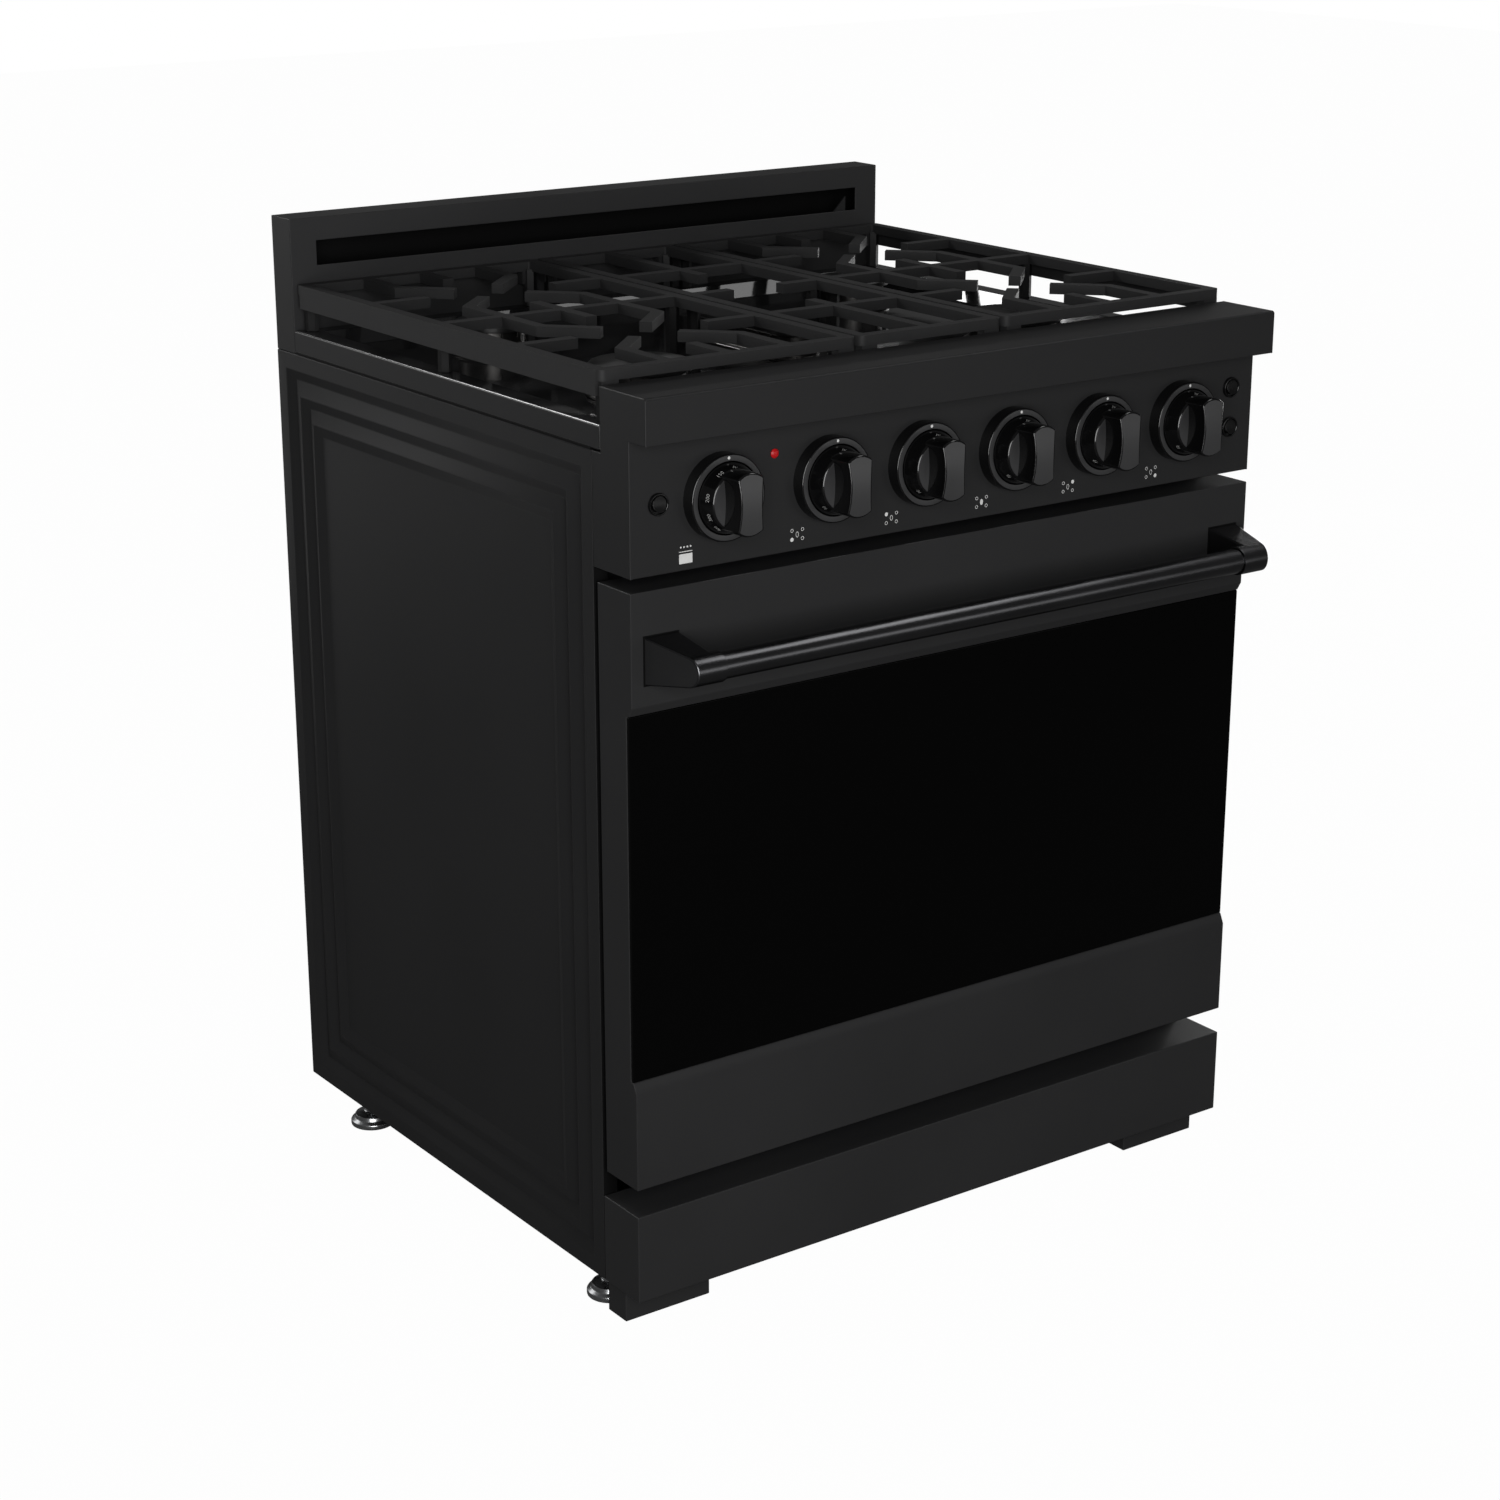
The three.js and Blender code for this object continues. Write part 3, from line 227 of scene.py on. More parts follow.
def make(name, mesh, material, body, stands_for=(), smooth=35, wall=None):
    """Turns a bmesh into a piece that rides on a body, with flat faces kept flat beside rounded edges.

    Edges sharper than smooth degrees stay sharp. A wall in mm gives an open sheet its thickness inwards.
    """
    data = bpy.data.meshes.new(name)
    mesh.to_mesh(data)
    mesh.free()
    for each in material if isinstance(material, list) else [material]:
        data.materials.append(each)
    data.polygons.foreach_set("use_smooth", [True] * len(data.polygons))
    data.set_sharp_from_angle(angle=math.radians(smooth))
    piece = bpy.data.objects.new(name, data)
    scene.collection.objects.link(piece)
    if wall:
        sheet = piece.modifiers.new("sheet", "SOLIDIFY")
        sheet.thickness, sheet.offset = wall / 1000, -1
    shading = piece.modifiers.new("shading", "WEIGHTED_NORMAL")
    shading.keep_sharp = True
    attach(piece, body)
    if stands_for:
        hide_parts(*stands_for)
    return piece


satin_black = finish("satin_black_paint", (0.0200, 0.0200, 0.0205), 0.45, specular=0.20)
# Near black: painted shade on the front folds, in the gap beside the door.
front_fold_shade = finish("painted_shade_on_front_fold", (0.0040, 0.0040, 0.0041), 0.6, specular=0.1, grain=800)
MOULDING = [(0, 0), (17.5, 0), (28.5, -6.2), (44, -0.9), (55.5, -7.0), (69, -1.4), (81, -6.4)]  # (inset, depth), mm
FOLD, STEPS = 1.0, 4  # half-width of a rounded fold in mm, and the strips across it
SIDE_SHEET, SIDE_LIP, SIDE_FOLD = 1.2, 0.016, 0.0011  # the sheet in mm; the lip's width and its fold's radius
MERGE, ON_EDGE = 0.00001, 0.000001  # distances within which points are one, and within which they lie on an edge
FORWARD = -0.9  # y of a normal that faces the front


def moulding_depth(inset):
    """Depth of the pressing at a distance from the panel's edge: straight slopes, rounded at each fold."""
    samples = range(-4, 5)
    total = 0
    for i in samples:
        at = min(max(inset + FOLD * i / 4, 0), MOULDING[-1][0])
        (a, low), (b, high) = next(pair for pair in zip(MOULDING, MOULDING[1:]) if at <= pair[1][0])
        total += low + (high - low) * (at - a) / (b - a)
    return total / len(samples)


def new_verts(made):
    """The vertices among what an extrusion made."""
    return [v for v in made["geom"] if isinstance(v, bmesh.types.BMVert)]


def sharp_edges(edges, angle=28):
    """The edges, among those given, whose two faces meet at more than an angle in degrees."""
    return [e for e in edges if len(e.link_faces) == 2 and e.calc_face_angle(0) > math.radians(angle)]


def bevel(mesh, edges, width, segments, clamp=True):
    """Rounds edges to a width in metres."""
    bmesh.ops.bevel(mesh, geom=edges, offset=width, segments=segments, profile=0.5, affect="EDGES",
                    clamp_overlap=clamp, material=-1)


for side, node in ((-1, "left_side_panel"), (1, "right_side_panel")):
    low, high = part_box(node)
    outer = low.x if side < 0 else high.x
    sheet = bmesh.new()
    corners = [(low.y, low.z), (high.y, low.z), (high.y, high.z), (low.y, high.z)]
    verts = [sheet.verts.new((outer, y, z)) for y, z in corners]
    field = sheet.faces.new(verts if side > 0 else verts[::-1])
    sheet.normal_update()
    insets = [fold + FOLD * (2 * i / STEPS - 1) for fold, depth in MOULDING[1:] for i in range(STEPS + 1)]
    bmesh.ops.inset_region(sheet, faces=[field], thickness=insets[0] / 1000, use_even_offset=True,
                           use_boundary=True)
    for near, far in zip(insets, insets[1:]):
        step = (moulding_depth(far) - moulding_depth(near)) / 1000
        bmesh.ops.inset_region(sheet, faces=[field], thickness=(far - near) / 1000, depth=step,
                               use_even_offset=True)
    # the front, bottom and top edges fold inwards; the rear one stays open
    borders = [(1, low.y), (2, low.z), (2, high.z)]
    folds = [e for e in sheet.edges
             if any(all(abs(v.co[k] - at) < ON_EDGE for v in e.verts) for k, at in borders)]
    lip = new_verts(bmesh.ops.extrude_edge_only(sheet, edges=folds))
    bmesh.ops.translate(sheet, verts=lip, vec=(-side * SIDE_LIP, 0, 0))
    bevel(sheet, folds, SIDE_FOLD, 3, clamp=False)
    bmesh.ops.recalc_face_normals(sheet, faces=sheet.faces)
    if field.normal.x * side < 0:
        bmesh.ops.reverse_faces(sheet, faces=sheet.faces)
    # The faces that look forwards take the painted shade.
    for face in sheet.faces:
        face.material_index = int(face.normal.y < FORWARD)
    make(node + "_pressing", sheet, [satin_black, front_fold_shade], "range", [node], smooth=50, wall=SIDE_SHEET)

# ---------------------------------------------------------------- base, rear cover, kick panel and legs
# Galvanised base pan and rear cover, and a folded black kick panel on two square leg covers. Each
# is bent from sheet, so every outside corner has a small radius.
FLAT_ANGLE = math.radians(0.5)


def refined(node, material, body, width, segments=2, angle=28):
    """A copy of a solid with its corners rounded, to a width in mm, as the real piece's are."""
    mesh = bmesh.new()
    mesh.from_mesh(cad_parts[node].data)
    bmesh.ops.remove_doubles(mesh, verts=mesh.verts, dist=MERGE)
    bmesh.ops.dissolve_limit(mesh, angle_limit=FLAT_ANGLE, verts=mesh.verts, edges=mesh.edges)
    bevel(mesh, sharp_edges(mesh.edges, angle), width / 1000, segments)
    return make(node + "_finished", mesh, material, body, [node])


zinc = finish("galvanised_sheet", (0.33, 0.34, 0.35), 0.42, metallic=0.9, spread=0.3, shade=0.6, grain=90,
              cloud=38, bump=0.04)
refined("base_pan", zinc, "range", 0.7)
refined("rear_cover", zinc, "range", 0.5)
# A lighter copy of the body's satin paint: painted light on the kick panel and leg covers.
kick_lightened = finish("painted_light_kick_paint", (0.0265, 0.0265, 0.0271), 0.45, specular=0.20)
refined("kick_panel", kick_lightened, "range", 1.2, 3)
for side in ("left", "right"):
    refined("front_leg_" + side, kick_lightened, "range", 1.0, 3)
    refined("door_hinge_" + side, zinc, "range", 0.5)

# ---------------------------------------------------------------- levelling feet
# Zinc-plated steel: a stepped dome pressed over a wide disc, riveted to a threaded stem with a
# hexagon to turn it by.


def spun(mesh, profile, centre, axis="Z", steps=48):
    """Turns a (radius, height) profile in mm round an axis through a centre. Axis Y points forwards.

    Only the new vertices are moved: what the mesh already holds is tagged, and so is the result.
    """
    turn = {"Z": Matrix.Identity(3), "Y": Matrix.Rotation(math.radians(90), 3, "X"),
            "+X": Matrix.Rotation(math.radians(90), 3, "Y"), "-X": Matrix.Rotation(math.radians(-90), 3, "Y")}[axis]
    verts = [mesh.verts.new((r / 1000, 0, h / 1000)) for r, h in profile]
    edges = [mesh.edges.new(pair) for pair in zip(verts, verts[1:])]
    bmesh.ops.spin(mesh, geom=verts + edges, cent=(0, 0, 0), axis=(0, 0, 1), angle=math.tau, steps=steps,
                   use_merge=True)
    bmesh.ops.remove_doubles(mesh, verts=[v for v in mesh.verts if not v.tag], dist=MERGE / 5)
    fresh = {v for v in mesh.verts if not v.tag}
    bmesh.ops.transform(mesh, matrix=Matrix.Translation(Vector(centre)) @ turn.to_4x4(), verts=list(fresh))
    for v in mesh.verts:
        v.tag = True
    bmesh.ops.recalc_face_normals(mesh, faces=[f for f in mesh.faces if fresh.issuperset(f.verts)])


bright_zinc = finish("bright_zinc", (0.50, 0.51, 0.52), 0.28, metallic=1.0, spread=0.15, grain=700, cloud=60)
DOME = [(0, 0), (22.6, 0), (23.7, 0.5), (24, 1.6), (24, 5.0), (23.4, 6.2), (20.8, 8.0), (19.8, 9.2), (19.5, 11.2),
        (18.6, 12.6), (10.6, 15.4), (9.2, 16.6), (8.8, 18)]
NECK, STEM_TOP = [(6, 18), (6, 24)], [(0, 58)]
THREAD_START, HALF_PITCH, THREAD_RADII, TURNS = 24, 0.5, [4.2, 5.0], 34
THREAD = [(r, THREAD_START + i * HALF_PITCH) for i, r in enumerate(THREAD_RADII * TURNS)]
NUT_RADIUS, NUT_HEIGHT, NUT_MIDDLE, NUT_EDGE = 0.0088, 0.006, 0.021, 0.0004
for corner in ("front_left", "front_right", "rear_left", "rear_right"):
    node = "levelling_foot_" + corner
    low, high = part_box(node)
    middle = (low + high) / 2
    foot = bmesh.new()
    spun(foot, DOME + NECK + THREAD + STEM_TOP, (middle.x, middle.y, 0))
    nut = bmesh.ops.create_cone(foot, cap_ends=True, segments=6, radius1=NUT_RADIUS, radius2=NUT_RADIUS,
                                depth=NUT_HEIGHT, matrix=Matrix.Translation((middle.x, middle.y, NUT_MIDDLE)))
    bevel(foot, list({e for v in nut["verts"] for e in v.link_edges}), NUT_EDGE, 2, clamp=False)
    make(node + "_spun", foot, bright_zinc, "foot_" + corner + "_body", [node])

# ---------------------------------------------------------------- oven inside
# Steel cavity in dark blue-black enamel with pale specks, pressed rack guides, chromed wire racks
# and a slotted cover over the convection fan.
enamel = finish("speckled_enamel", (0.020, 0.022, 0.030), 0.22, spread=0.1, specular=0.5, grain=260, cloud=20,
                bump=0.03)
SPECKS_PER_METRE, SPECK_EDGE, SPECK_CORE, SPECK_TONE = 320, 0.20, 0.14, (0.16, 0.18, 0.22, 1)
made, join = enamel.node_tree.nodes, enamel.node_tree.links
place, specks = made.new("ShaderNodeTexCoord"), made.new("ShaderNodeTexVoronoi")
specks.inputs["Scale"].default_value = SPECKS_PER_METRE
cut = made.new("ShaderNodeMapRange")
cut.inputs["From Min"].default_value, cut.inputs["From Max"].default_value = SPECK_EDGE, SPECK_CORE
mixed = made.new("ShaderNodeMix")
mixed.data_type = "RGBA"
mixed.inputs["B"].default_value = SPECK_TONE
shader = made["Principled BSDF"]
join.new(place.outputs["Object"], specks.inputs["Vector"])
join.new(specks.outputs["Distance"], cut.inputs["Value"])
join.new(cut.outputs["Result"], mixed.inputs["Factor"])
join.new(shader.inputs["Base Color"].links[0].from_socket, mixed.inputs["A"])
join.new(mixed.outputs["Result"], shader.inputs["Base Color"])
chrome = finish("chromed_wire", (0.62, 0.63, 0.64), 0.12, metallic=1.0, spread=0.08, grain=400, cloud=40, bump=0.02)
refined("oven_liner", enamel, "range", 1.4, 3)
refined("fan_cover", enamel, "range", 0.6)
refined("convection_fan", zinc, "fan_body", 0.25, 1)
refined("bake_burner", zinc, "range", 0.4, 1)
brass = finish("drawn_brass", (0.42, 0.29, 0.10), 0.3, metallic=1.0, grain=300, cloud=30)
refined("gas_manifold", brass, "range", 0.4, 1)


WIRE_DOME = 0.45  # rounding of a wire's end, as a share of its radius


def wire(mesh, start, end, radius, sides=12):
    """A straight round wire between two points, with domed ends."""
    start, end = Vector(start), Vector(end)
    along = (end - start).to_track_quat("Z", "Y").to_matrix().to_4x4()
    rod = bmesh.ops.create_cone(mesh, cap_ends=True, segments=sides, radius1=radius, radius2=radius,
                                depth=(end - start).length, matrix=Matrix.Translation((start + end) / 2) @ along)
    caps = [f for f in {f for v in rod["verts"] for f in v.link_faces} if len(f.verts) == sides]
    bevel(mesh, list({e for f in caps for e in f.edges}), radius * WIRE_DOME, 2, clamp=False)


def frame_curve(name, points, radius, corner):
    """A closed loop of rod through the given points, rounded at each, as a mesh."""
    curve = bpy.data.curves.new(name, "CURVE")
    curve.dimensions = "3D"
    curve.bevel_depth, curve.bevel_resolution = radius, 4
    spline = curve.splines.new("POLY")
    route = []
    for i, here in enumerate(points):
        here, before, after = Vector(here), Vector(points[i - 1]), Vector(points[(i + 1) % len(points)])
        a, b = (before - here).normalized() * corner, (after - here).normalized() * corner
        for t in [k / 6 for k in range(7)]:
            route.append(here + a * (1 - t) ** 2 + b * t ** 2)
    spline.points.add(len(route) - 1)
    for point, at in zip(spline.points, route):
        point.co = (*at, 1)
    spline.use_cyclic_u = True
    rod = bpy.data.objects.new(name, curve)
    scene.collection.objects.link(rod)
    mesh = bmesh.new()
    mesh.from_mesh(rod.evaluated_get(bpy.context.evaluated_depsgraph_get()).to_mesh())
    bpy.data.objects.remove(rod)
    bmesh.ops.remove_doubles(mesh, verts=mesh.verts, dist=MERGE)
    return mesh


BORDER_WIRE, BORDER_CORNER, RACK_WIRE, RACK_BARS = 0.004, 0.022, 0.0025, 23
CROSS_WIRE, CROSS_DROP, CROSS_SHARES = 0.0027, 0.0012, (0.33, 0.67)
for level in ("lower", "upper"):
    node = "oven_rack_" + level
    low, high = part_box(node)
    z = (low.z + high.z) / 2
    x0, x1, y0, y1 = low.x + BORDER_WIRE, high.x - BORDER_WIRE, low.y + BORDER_WIRE, high.y - BORDER_WIRE
    border = [(x0, y0, z), (x1, y0, z), (x1, y1, z), (x0, y1, z)]
    rack = frame_curve("rack_border", border, BORDER_WIRE, BORDER_CORNER)
    for i in range(RACK_BARS):
        x = x0 + (i + 1) * (x1 - x0) / (RACK_BARS + 1)
        wire(rack, (x, y0, z), (x, y1, z), RACK_WIRE)
    for share in CROSS_SHARES:
        y = y0 + (y1 - y0) * share
        wire(rack, (x0, y, z - CROSS_DROP), (x1, y, z - CROSS_DROP), CROSS_WIRE)
    make(node + "_wires", rack, chrome, "rack_" + level + "_body", [node], smooth=60)

# ---------------------------------------------------------------- oven door
# A folded steel tray with two bands that stand proud of a sheet of black glass, with chamfers
# down towards it. The tray has a lighter, less glossy copy of the body's paint, as painted light
# where the handle hides the paint's sheen; the chamfers that face up have a glossier, lighter copy,
# as painted highlight. Inside, an enamelled liner holds the inner pane.
# A lighter, less glossy copy of the body's satin paint: painted light on the whole door.
door_lightened = finish("painted_light_door_paint", (0.0270, 0.0270, 0.0276), 0.45, specular=0.12)
# A glossier, lighter copy of the door paint: painted highlight on the chamfers that face up.
chamfer_highlight = finish("painted_highlight_on_chamfer", (0.030, 0.030, 0.031), 0.28, specular=0.5, spread=0.05)
CHAMFER = 0.6  # least share of a chamfer's normal that points up, and that points forwards
door = refined("door_panel", [door_lightened, chamfer_highlight], "door", 1.2, 3)
# Faces pointing up and forwards take the painted highlight.
for face in door.data.polygons:
    face.material_index = int(face.normal.z > CHAMFER and face.normal.y < -CHAMFER)
black_glass = finish("black_glass", (0.0014, 0.0014, 0.0014), 0.04, specular=0.12, spread=0.01, grain=30, cloud=3,
                     bump=0.0)
refined("door_glass", black_glass, "door", 0.6)
refined("door_liner", enamel, "door", 0.8, 3)
refined("door_inner_glass", black_glass, "door", 0.6)

# Handle: a round bar of dark polished metal, held at each end in the collar of a cast bracket that
# tapers from a tall foot on the door to a round nose on the bar's axis. The brackets' outer sides
# have a darker, less metallic copy of the metal, as painted shade. A thin black strip round each
# foot stands in as painted shade where it meets the door.
low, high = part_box("handle_bar")
BAR_AXIS, BAR_RADIUS = (low + high) / 2, (high.z - low.z) / 2
dark_chrome = finish("dark_polished_metal", (0.12, 0.12, 0.125), 0.26, metallic=1.0, spread=0.05, grain=500,
                     cloud=16, bump=0.02)
bar = bmesh.new()
wire(bar, (low.x, BAR_AXIS.y, BAR_AXIS.z), (high.x, BAR_AXIS.y, BAR_AXIS.z), BAR_RADIUS, 96)
make("handle_bar_turned", bar, dark_chrome, "door", ["handle_bar"])

# Near black: painted shade round the handle brackets' feet and in the gap under the cooktop pan.
black_shade_strip = finish("painted_shade_black_strip", (0.0030, 0.0030, 0.0030), 0.6, specular=0.1, grain=700)
# A darker, less metallic copy of the polished metal: painted shade on the brackets' outer sides.
bracket_side_shade = finish("painted_shade_on_bracket_side", (0.068, 0.068, 0.070), 0.30, metallic=0.75, spread=0.06, grain=900,
                     cloud=20, bump=0.02)
NOSE, NOSE_STEPS = 0.0144, 32
ARM_INSIDE, ARM_OUTSIDE = 0.329, 0.366  # the bracket's two sides at the door, from the range's middle
ARM_LEAN, ARM_EDGE = 0.233, 0.0015  # the outer side's lean inwards per metre forwards, and the corners' rounding
ARM_SIDE = 0.96  # least share of the outer side's normal that points sideways
COLLAR = [(12.9, 3), (12.9, 0.3), (13.2, 0), (13.8, 0), (14.25, 0.2), (14.4, 0.6), (14.4, 11), (12.9, 11), (12.9, 3)]
COLLAR_REACH = 0.0097  # from the bracket's inner side to the collar's mouth
FOOT_STRIP_EDGE, FOOT_STRIP_FRONT, FOOT_STRIP_BACK = 0.0008, 0.00075, 0.00015  # past the foot, and before and behind its back
ENDS = ((-1, "left"), (1, "right"))


def prism(mesh, points):
    """A face through the points and its copy, joined by sides. Returns the copy's vertices, still to be moved."""
    base = mesh.faces.new([mesh.verts.new(at) for at in points])
    return new_verts(bmesh.ops.extrude_face_region(mesh, geom=[base]))


def block(low, high):
    """A box between two corners, as a mesh."""
    mesh = bmesh.new()
    bmesh.ops.create_cube(mesh, size=1)
    bmesh.ops.scale(mesh, verts=mesh.verts, vec=[b - a for a, b in zip(low, high)])
    bmesh.ops.translate(mesh, verts=mesh.verts, vec=[(a + b) / 2 for a, b in zip(low, high)])
    return mesh


for sign, side in ENDS:
    low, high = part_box("handle_bracket_" + side)
    reach, half = high.y - BAR_AXIS.y, (high.z - low.z) / 2
    turn = math.atan2(half, reach) + math.acos(NOSE / math.hypot(reach, half))
    sweep = [turn + i / NOSE_STEPS * (math.tau - 2 * turn) for i in range(NOSE_STEPS + 1)]
    outline = [(reach, -half), (reach, half)] + [(NOSE * math.cos(a), NOSE * math.sin(a)) for a in sweep]
    bracket = bmesh.new()
    for v in prism(bracket, [(sign * ARM_INSIDE, BAR_AXIS.y + y, BAR_AXIS.z + z) for y, z in outline]):
        v.co.x = sign * (ARM_OUTSIDE - ARM_LEAN * (high.y - v.co.y))
    bmesh.ops.recalc_face_normals(bracket, faces=bracket.faces)
    bevel(bracket, sharp_edges(bracket.edges, 24), ARM_EDGE, 4)
    # The outer side takes the painted shade.
    for face in bracket.faces:
        face.material_index = int(face.normal.x * sign > ARM_SIDE)
    for v in bracket.verts:
        v.tag = True
    mouth = (sign * (ARM_INSIDE - COLLAR_REACH), BAR_AXIS.y, BAR_AXIS.z)
    spun(bracket, COLLAR, mouth, "+X" if sign > 0 else "-X", 64)
    make("handle_bracket_" + side + "_cast", bracket, [dark_chrome, bracket_side_shade], "door",
         ["handle_bracket_" + side], smooth=30)

# A thin black strip round each bracket's foot, as painted shade where it meets the door.
for sign, side in ENDS:
    low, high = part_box("handle_bracket_" + side)
    inner, outer = sorted((sign * (ARM_INSIDE - FOOT_STRIP_EDGE), sign * (ARM_OUTSIDE + FOOT_STRIP_EDGE)))
    foot_strip = block((inner, high.y - FOOT_STRIP_FRONT, low.z - FOOT_STRIP_EDGE),
                   (outer, high.y + FOOT_STRIP_BACK, high.z + FOOT_STRIP_EDGE))
    make("bracket_foot_shade_" + side, foot_strip, black_shade_strip, "door")

# ---------------------------------------------------------------- control panel
# A folded steel fascia across the front with a bezel ring pressed on round each knob and a
# threaded ring round each rocker switch. One plate closes the end of fascia and ledge together.
panel_low, panel_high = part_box("control_panel")
ledge_low, ledge_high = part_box("landing_ledge")
FACE_Y, KNOB_Z = panel_high.y - 0.0596, 0.8167
KNOBS = {"oven": -0.282, "front_left": -0.160, "rear_left": -0.050, "centre": 0.060, "rear_right": 0.170,
         "front_right": 0.280}
SWITCHES = {"left": (-0.3495, 0.8178), "right_upper": (0.3495, 0.8417), "right_lower": (0.3495, 0.8011)}
END_PLATE, PLATE_EDGE = 0.002, 0.0011
FASCIA_SHEET, FASCIA_EDGE = 1.6, 0.0009  # the sheet in mm
HEEL_Z = 0.860  # top of the fascia's deep lower part
NEAR, FACING_BACK = 0.0001, 0.99


def extruded(mesh, outline, x0, x1):
    """A closed (y, z) outline in metres pulled along X."""
    bmesh.ops.translate(mesh, verts=prism(mesh, [(x0, y, z) for y, z in outline]), vec=(x1 - x0, 0, 0))
    bmesh.ops.recalc_face_normals(mesh, faces=mesh.faces)


def long_corners(mesh):
    """The sharp edges that run across the range."""
    return sharp_edges([e for e in mesh.edges if abs(e.verts[0].co.x - e.verts[1].co.x) > 0.1])


def bullnose(radius=0.003, steps=6):
    """The ledge's rounded top front corner, from its top to its front."""
    turns = [math.pi / 2 * (1 + i / steps) for i in range(steps + 1)]
    return [(ledge_low.y + radius * (1 + math.cos(a)), ledge_high.z - radius * (1 - math.sin(a))) for a in turns]


heel = [(panel_high.y, panel_low.z), (panel_high.y, HEEL_Z), (ledge_high.y, HEEL_Z)]
fascia = bmesh.new()
extruded(fascia, [(FACE_Y, panel_low.z)] + heel + [(ledge_high.y, panel_high.z), (FACE_Y, panel_high.z)],
         panel_low.x + END_PLATE, panel_high.x - END_PLATE)
bevel(fascia, long_corners(fascia), FASCIA_EDGE, 3)
back = [f for f in fascia.faces
        if f.normal.y > FACING_BACK and f.calc_center_median().y > panel_high.y - 10 * NEAR]
bmesh.ops.delete(fascia, geom=back, context="FACES")
make("control_fascia", fascia, satin_black, "range", ["control_panel"], wall=FASCIA_SHEET)
for sign, side in ENDS:
    plate = bmesh.new()
    outline = heel + [(ledge_high.y, ledge_high.z)] + bullnose()
    outline += [(ledge_low.y, ledge_low.z), (FACE_Y, ledge_low.z), (FACE_Y, panel_low.z)]
    extruded(plate, outline, sign * (panel_high.x - END_PLATE), sign * panel_high.x)
    outside = [e for e in plate.edges if all(abs(v.co.x) > panel_high.x - NEAR for v in e.verts)]
    bevel(plate, sharp_edges(outside), PLATE_EDGE, 3)
    make("end_plate_" + side, plate, satin_black, "range")

gloss_black = finish("gloss_black_plastic", (0.0035, 0.0035, 0.0037), 0.12, specular=0.5, spread=0.04, grain=60,
                     cloud=20, bump=0.01)
satin_ring = finish("satin_bezel_paint", (0.036, 0.036, 0.037), 0.32, specular=0.5, grain=1200)
BEZEL_FRONT = 0.0140
BEZEL = [(33.8, 0), (40.2, 0), (40.2, 12.5), (40.0, 13.3), (39.5, 13.8), (38.7, 14), (34.5, 14), (34.0, 13.8),
         (33.8, 13.2), (33.8, 0)]
SWITCH_RING = [(8.4, 0), (10.5, 0), (10.5, 1.8), (10.1, 2.7), (9.4, 3), (8.9, 2.9), (8.4, 2.3), (8.4, 0)]
for name, x in KNOBS.items():
    bezel = bmesh.new()
    spun(bezel, BEZEL, (x, FACE_Y, KNOB_Z), "Y", 128)
    for face in bezel.faces:
        face.material_index = int(face.calc_center_median().y < FACE_Y - BEZEL_FRONT + NEAR)
    make("bezel_" + name, bezel, [gloss_black, satin_ring], "range", smooth=40)
for name, (x, z) in SWITCHES.items():
    ring = bmesh.new()
    spun(ring, SWITCH_RING, (x, FACE_Y, z), "Y", 64)
    make("switch_ring_" + name, ring, gloss_black, "range", smooth=40)

# ---------------------------------------------------------------- knobs
# Moulded gloss skirt that carries the dial, with two flat lens-shaped shelves and a waisted grip
# across the middle. The grip's front and the shelves are textured satin, the shelves in a darker
# copy as painted shade beside the grip.
satin_plastic = finish("satin_black_plastic", (0.045, 0.045, 0.046), 0.34, specular=0.5, spread=0.05, grain=1400,
                       cloud=30, bump=0.05)
# A darker copy of the satin plastic: painted shade on the shelves beside the grip.
shelf_shade = finish("painted_shade_on_shelf", (0.028, 0.028, 0.029), 0.30, specular=0.5, spread=0.05, grain=1400,
                     cloud=30, bump=0.05)
# Radii of skirt and shelf, and distances in front of the fascia, in mm.
WIDE, BODY, SKIRT, SHELF, KNOB_FRONT = 33.0, 27.8, 14.5, 28.8, 50.0
SKIRT_PROFILE = [
    (0, 6), (WIDE - 0.8, 6), (WIDE - 0.2, 6.3), (WIDE, 7), (WIDE, SKIRT - 0.9), (WIDE - 0.25, SKIRT + 0.1),
    (WIDE - 0.7, SKIRT + 1.2), (BODY + 0.4, SHELF - 2.2), (BODY, SHELF - 1.3), (BODY - 0.7, SHELF - 0.5),
    (BODY - 1.5, SHELF - 0.1), (BODY - 2.3, SHELF), (0, SHELF)]
GRIP = {"end": 14.0, "waist": 12.0, "corner": 24.0, "crown": 29.2, "root": 23.5, "lean": 2.0, "crowned": 2.6}
GRIP_SLICES, GRIP_STEPS, GRIP_EDGE = range(-24, 25, 6), 14, 0.0017
# Least distances in front of the fascia, in metres, of the grip's front corners, the shelves and the grip's face.
GRIP_RIM, SHELF_FRONT, GRIP_FACE = 0.0451, 0.0280, 0.0400
FLAT_FRONT = -0.985  # y of the normal of a flat front


def grip_outline():
    """Half-width along the grip's front, up one side and back down the other: waisted sides, round ends."""
    end, waist, corner, crown = GRIP["end"], GRIP["waist"], GRIP["corner"], GRIP["crown"]
    side = [((1 - t) ** 2 * end + 2 * t * (1 - t) * (2 * waist - end) + t * t * end, -corner + 2 * corner * t)
            for t in [i / GRIP_STEPS for i in range(GRIP_STEPS + 1)]]
    rise = crown - corner
    arc = (end ** 2 + rise ** 2) / (2 * rise)
    lean = math.asin(end / arc)
    turns = [lean - 2 * lean * i / GRIP_STEPS for i in range(1, GRIP_STEPS)]
    cap = [(arc * math.sin(a), crown - arc + arc * math.cos(a)) for a in turns]
    half = side + cap
    return half + [(-x, -z) for x, z in half]


